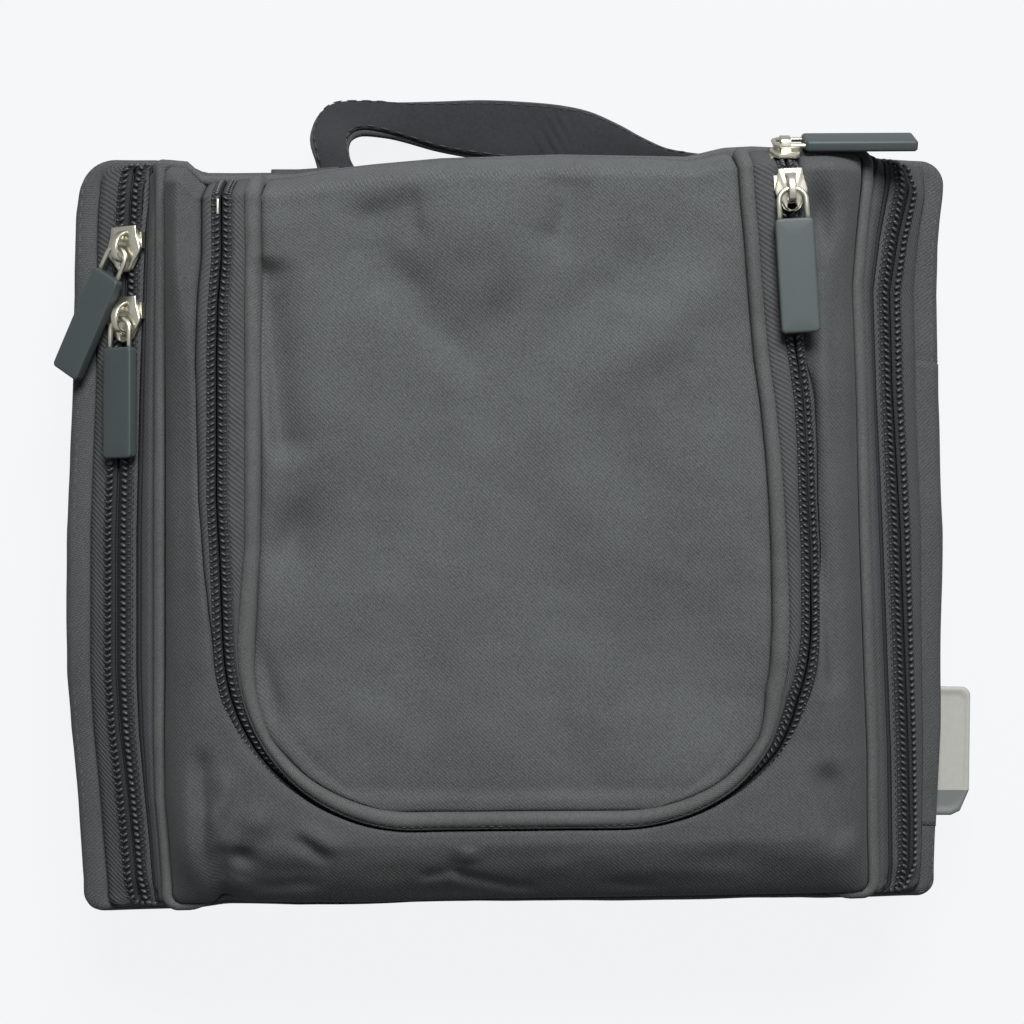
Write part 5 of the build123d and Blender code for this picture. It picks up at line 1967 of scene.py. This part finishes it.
@dataclass
class SliderTop:
    """A slider's cast upper plate with its arched crown."""

    place: SliderPlace
    material: bpy.types.Material
    thickness: float = 1.0
    shape_y: tuple = (1, 0.55, 0.25, 0, -0.15, -0.4, -0.58, -0.75, -0.9, -1)
    shape_half: tuple = (0.74, 0.8, 0.93, 1.0, 0.98, 0.8, 0.6, 0.5, 0.38, 0.12)
    arch: tuple = (
        (4.7, -0.3), (4.2, 0.5), (3.4, 1.5), (2.4, 2.4), (1.2, 3.0), (0, 3.2), (-1.4, 3.05), (-2.5, 2.5),
        (-3.1, 1.5), (-3.25, 0.4), (-3.25, -0.4),
    )
    arch_half: tuple = (1.9, 1.7, 1.25, 1.2, 1.15, 1.1, 1.05, 1.05, 1.15, 1.3, 1.3)
    arch_thick: tuple = (0.5, 0.6, 0.65, 0.65, 0.6, 0.55, 0.5, 0.5, 0.5, 0.55, 0.55)

    def build(self) -> None:
        """Build the plate and the crown."""
        draft = Draft()
        self.plate(draft)
        self.crown(draft)
        name = self.place.name
        dress(draft.build(f"{name}_crown"), self.material, self.place.body, "slider_metal", name)

    def plate(self, draft: Draft) -> None:
        """The upper plate with a round window near its tail.

        Args:
            draft: The mesh being drawn.
        """
        size = np.array([self.place.width / 2, self.place.length / 2])
        y = np.concatenate([np.linspace(-1, -0.8, 6), np.linspace(-0.74, 1, 24)])
        half = np.interp(y, self.shape_y[::-1], self.shape_half[::-1])
        front = np.linspace(0.74, -0.74, 9)[1:-1]
        right = np.column_stack([half, y])
        top = np.column_stack([front, np.full(7, 1.0)])
        left = np.column_stack([-half[::-1], y[::-1]])
        ring = np.concatenate([right, top, left]) * size
        hole = np.array([0, -0.76 * size[1]])
        away = unit(ring - hole)
        low, high = self.place.low, self.place.low + self.thickness
        loops = []
        for kind, shift, z in (
            ("hole", 0, low), ("rim", 0, low), ("rim", 0, high - 0.35), ("rim", 0.12, high - 0.12),
            ("rim", 0.38, high), ("hole", 0.22, high), ("hole", 0.03, high - 0.15),
        ):
            flat = hole + away * (1.25 + shift) if kind == "hole" else hole + (ring - hole) - away * shift
            loops.append(self.place.to_bag(np.column_stack([flat, np.full(len(flat), z)])))
        draft.rings(loops, wrap=True)

    def crown(self, draft: Draft) -> None:
        """The arch that holds the wire, and the rib under its front.

        Args:
            draft: The mesh being drawn.
        """
        scale = self.place.length / 12.5
        steps = np.linspace(0, len(self.arch) - 1, 41)
        path = np.stack([np.interp(steps, np.arange(len(self.arch)), [p[k] for p in self.arch]) for k in (0, 1)], 1)
        path = (path + np.roll(path, 1, 0) + np.roll(path, -1, 0))[1:-1] / 3
        steps = steps[1:-1]
        half = np.interp(steps, np.arange(len(self.arch)), self.arch_half) * scale
        thick = np.interp(steps, np.arange(len(self.arch)), self.arch_thick) * scale
        path = path * scale
        tangent = unit(np.gradient(path, axis=0))
        normal = np.stack([-tangent[:, 1], tangent[:, 0]], axis=1)
        base = self.place.low + self.thickness
        rows = []
        for turn in np.linspace(0, 2 * math.pi, 17)[:-1]:
            c, s = math.cos(turn), math.sin(turn)
            x = half * math.copysign(abs(c) ** 0.55, c)
            lift = thick * math.copysign(abs(s) ** 0.7, s)
            moved = path + normal * lift[:, None]
            rows.append(self.place.to_bag(np.column_stack([x, moved[:, 0], base + moved[:, 1]])))
        draft.bar(np.stack(rows))
        rib = []
        for x, top in ((-0.9, -0.2), (-0.8, 0.0), (0.8, 0.0), (0.9, -0.2), (0.9, None), (-0.9, None)):
            y = np.array([4.4, 3.6, 2.8, 2.0]) * scale
            z = np.full(4, -0.2) if top is None else (np.array([0.2, 1.2, 1.9, 2.5]) + top) * scale
            rib.append(self.place.to_bag(np.column_stack([np.full(4, x * scale), y, base + z])))
        draft.bar(np.stack(rib))


@dataclass
class ZipPulls:
    """The four sliders with their bent wires and moulded tabs."""

    wardrobe: Wardrobe
    reach: float = 7.8
    half: float = 3.6
    bend: float = 3.1
    wire: float = 0.7
    length: float = 30.0
    width: float = 10.2
    thickness: float = 3.0
    places: tuple = (
        PullPlace(
            "upper_main", "upper_main_pull", (-107.383, 76.4, 51.933), (0.71407, -0.46947, 0.51932),
            (-0.56025, 0.06159, 0.82603), "main_wire_upper", "main_tab_upper",
        ),
        PullPlace(
            "lower_main", "lower_main_pull", (-107.383, 57.3, 51.933), (0.80874, 0, 0.58817),
            (-0.58817, 0, 0.80874), "main_wire_lower", "main_tab_lower",
        ),
        PullPlace(
            "lower_pocket", "lower_pocket_pull", (72.349, 89.3, 75.65), (0.99813, 0.06105, 0),
            (0, 0, 1), "pocket_wire_lower", "pocket_tab_lower",
        ),
    )
    sliders: tuple = (
        SliderPlace(
            "main_slider_upper", "upper_main_slider", (-105.25, 76.4, 49), (0.80874, 0, 0.58817),
            (-0.58817, 0, 0.80874), 1.53, 12.5, 12.4,
        ),
        SliderPlace(
            "main_slider_lower", "lower_main_slider", (-105.25, 57.3, 49), (0.80874, 0, 0.58817),
            (-0.58817, 0, 0.80874), 1.53, 12.5, 12.4,
        ),
        SliderPlace(
            "pocket_slider_lower", "lower_pocket_slider", (72.349, 89.3, 72), (0.99813, 0.06105, 0),
            (0, 0, 1), 1.55, 11.3, 8.6,
        ),
    )

    def build(self) -> None:
        """Build every slider, wire and tab."""
        for slider in self.sliders:
            SliderTop(slider, self.wardrobe.metal).build()
            self.lower_half(slider)
        self.rounded_copy("pocket_slider_top", "top_pocket_slider", self.wardrobe.metal, "slider_metal", 0.16)
        for place in self.places:
            self.wire_loop(place)
            self.tab(place)
        self.rounded_copy("pocket_wire_top", "top_pocket_pull", self.wardrobe.metal, "slider_metal", 0.25)
        self.rounded_copy("pocket_tab_top", "top_pocket_pull", self.wardrobe.rubber, "pull_rubber", 0.25)

    def opened(self, node: str) -> tuple:
        """A copy of a node's mesh, and the same mesh opened for editing with its points joined."""
        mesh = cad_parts[node].data.copy()
        work = bmesh.new()
        work.from_mesh(mesh)
        bmesh.ops.remove_doubles(work, verts=work.verts, dist=1e-6)
        return mesh, work

    def rounded_copy(self, node: str, body: str, finish: bpy.types.Material, slot: str, width: float) -> None:
        """A copy of a node with its edges rounded.

        Args:
            node: The node to copy.
            body: The body that it moves with.
            finish: Its finish.
            slot: The record's material slot.
            width: Width of the rounding.
        """
        mesh, work = self.opened(node)
        flat = [e for e in work.edges if len(e.link_faces) == 2 and e.calc_face_angle(0) < math.radians(2)]
        bmesh.ops.dissolve_edges(work, edges=flat, use_verts=False)
        work.to_mesh(mesh)
        work.free()
        piece = show(node + "_finished", mesh)
        bevel = piece.modifiers.new("Round", "BEVEL")
        bevel.width = width * MM
        bevel.segments = 2
        bevel.limit_method = "ANGLE"
        bevel.angle_limit = math.radians(28)
        graph = bpy.context.evaluated_depsgraph_get()
        plain = bpy.data.meshes.new_from_object(piece.evaluated_get(graph))
        piece.modifiers.clear()
        piece.data = plain
        plain.polygons.foreach_set("use_smooth", [True] * len(plain.polygons))
        dress(piece, finish, body, slot, node)

    def lower_half(self, slider: SliderPlace) -> None:
        """The part of a slider below its upper plate, cut from a copy of its node.

        Args:
            slider: Where the slider sits.
        """
        mesh, work = self.opened(slider.name)
        everything = list(work.verts) + list(work.edges) + list(work.faces)
        seat = Vector(slider.to_bag(np.array([0, 0, slider.low + 0.1])) * MM)
        cut = bmesh.ops.bisect_plane(
            work, geom=everything, dist=1e-7, plane_co=seat, plane_no=Vector(slider.out), clear_outer=True
        )
        rim = [item for item in cut["geom_cut"] if isinstance(item, bmesh.types.BMEdge)]
        bmesh.ops.holes_fill(work, edges=rim)
        bmesh.ops.recalc_face_normals(work, faces=work.faces)
        work.to_mesh(mesh)
        work.free()
        dress(show(slider.name + "_base", mesh), self.wardrobe.metal, slider.body, "slider_metal")

    def wire_loop(self, place: PullPlace) -> None:
        """The bent wire between slider and tab.

        Args:
            place: Where the pull hangs.
        """
        end = -self.reach - 2.8
        flat = [(-self.half, end)]
        for centre, start in ((-self.half + self.bend, 180), (self.half - self.bend, 90)):
            flat += arc((centre, -self.bend), self.bend, start, -90, 9)
        flat.append((self.half, end))
        path = np.array(flat)
        tangent = unit(np.gradient(path, axis=0))
        side = np.stack([-tangent[:, 1], tangent[:, 0]], axis=1)
        rows = []
        for turn in np.linspace(0, 2 * math.pi, 13)[:-1]:
            moved = path + side * self.wire * math.cos(turn)
            local = np.column_stack([moved, np.full(len(path), self.wire * math.sin(turn))])
            rows.append(place.to_bag(local))
        piece = Draft().bar(rows).build(f"{place.name}_pull_wire")
        dress(piece, self.wardrobe.metal, place.body, "slider_metal", place.wire_node)

    def tab(self, place: PullPlace) -> None:
        """The bare moulded tab, with soft edges and rounded corners.

        Args:
            place: Where the pull hangs.
        """
        middle = -self.reach - self.length / 2
        loops = []
        half = self.thickness / 2
        for inset, height in (
            (4.6, half), (0.75, half), (0.3, half - 0.06), (0.08, half - 0.22), (0, half - 0.5),
            (0, 0), (0, 0.5 - half), (0.08, 0.22 - half), (0.3, 0.06 - half), (0.75, -half), (4.6, -half),
        ):
            w, h = self.width / 2 - inset, self.length / 2 - inset
            corner = max(1.2 - inset, 0.25)
            points = []
            for cx, cy, start in ((1, 1, 0), (-1, 1, 90), (-1, -1, 180), (1, -1, 270)):
                points += arc((cx * (w - corner), middle + cy * (h - corner)), corner, start, 90, 6)
            loops.append(place.to_bag(np.column_stack([points, np.full(len(points), height)])))
        piece = Draft().rings(loops).build(f"{place.name}_pull_tab")
        dress(piece, self.wardrobe.rubber, place.body, "pull_rubber", place.tab_node)


@dataclass
class Studio:
    """Camera, floor and soft light, as the photograph has them."""

    camera_height: float = 700.0
    view_width: float = 300.3
    shift: tuple = (-0.0033, 0.0176)
    mirrored: float = 0.583

    def build(self) -> None:
        """Set up camera, floor, lights and backdrop."""
        data = bpy.data.cameras.new("camera")
        data.sensor_width = 36
        data.sensor_fit = "HORIZONTAL"
        data.lens = 36 * self.camera_height / self.view_width
        data.shift_x, data.shift_y = self.shift
        camera = show("camera", data)
        camera.location = (0, 0, self.camera_height * MM)
        bpy.context.scene.camera = camera
        self.floor()
        self.light("key", (0.12, 0.78, 1.08), 0.52, 25.5)
        self.light("fill", (0.5, 0.2, 1.6), 1.2, 2.0)
        world = bpy.data.worlds.new("studio")
        bpy.context.scene.world = world
        world.use_nodes = True
        back = world.node_tree.nodes["Background"]
        back.inputs["Color"].default_value = (0.93, 0.96, 1.0, 1)
        nodes, links = world.node_tree.nodes, world.node_tree.links
        rays = nodes.new("ShaderNodeLightPath")
        strength = add_node(world.node_tree, "ShaderNodeMapRange", To_Min=0.04, To_Max=1.0)
        seen = nodes.new("ShaderNodeMath")
        seen.operation = "MULTIPLY_ADD"
        seen.inputs[1].default_value = self.mirrored
        links.new(rays.outputs["Is Glossy Ray"], seen.inputs[0])
        links.new(rays.outputs["Is Camera Ray"], seen.inputs[2])
        links.new(seen.outputs["Value"], strength.inputs["Value"])
        links.new(strength.outputs["Result"], back.inputs["Strength"])
        bpy.context.scene.view_settings.view_transform = "Standard"

    def floor(self) -> None:
        """A plain pale floor that keeps a soft contact shadow."""
        mesh = bpy.data.meshes.new("floor")
        mesh.from_pydata([(-3, -3, 0), (3, -3, 0), (3, 3, 0), (-3, 3, 0)], [], [(0, 1, 2, 3)])
        plane = show("floor", mesh)
        material = bpy.data.materials.new("pale_floor")
        material.use_nodes = True
        nodes, links = material.node_tree.nodes, material.node_tree.links
        matt = nodes["Principled BSDF"]
        matt.inputs["Base Color"].default_value = (0.35, 0.35, 0.355, 1)
        matt.inputs["Roughness"].default_value = 0.9
        glow = add_node(material.node_tree, "ShaderNodeEmission", Color=(0.965, 0.978, 0.993, 1), Strength=1.0)
        rays = nodes.new("ShaderNodeLightPath")
        share = nodes.new("ShaderNodeMath")
        share.operation = "MULTIPLY"
        share.inputs[1].default_value = 0.9
        blend = nodes.new("ShaderNodeMixShader")
        links.new(rays.outputs["Is Camera Ray"], share.inputs[0])
        links.new(share.outputs["Value"], blend.inputs["Fac"])
        links.new(matt.outputs["BSDF"], blend.inputs[1])
        links.new(glow.outputs["Emission"], blend.inputs[2])
        links.new(blend.outputs["Shader"], nodes["Material Output"].inputs["Surface"])
        plane.data.materials.append(material)

    def light(self, name: str, place: tuple, size: float, power: float) -> None:
        """A soft square light aimed at the bag.

        Args:
            name: The light's name.
            place: Its place in metres.
            size: Its side in metres.
            power: Its power in watts.
        """
        data = bpy.data.lights.new(name, "AREA")
        data.size = size
        data.energy = power
        lamp = show(name, data)
        lamp.location = place
        lamp.rotation_euler = (Vector((0, 0, 0.04)) - Vector(place)).to_track_quat("-Z", "Y").to_euler()


def main() -> None:
    """Build the scene in order and report each piece."""
    logging.basicConfig(level=logging.INFO, format="%(name)s: %(message)s")
    Studio().build()
    wardrobe = Wardrobe()
    beads = SeamTree("seam_pieces", 8, 5)
    RearTray(wardrobe, beads).build()
    MainZip(wardrobe, beads).build()
    Lid(wardrobe, beads).build()
    Flap(wardrobe, beads).build()
    CarryHandle(wardrobe, beads).build()
    ZipPulls(wardrobe).build()


if __name__ == "__main__":
    main()
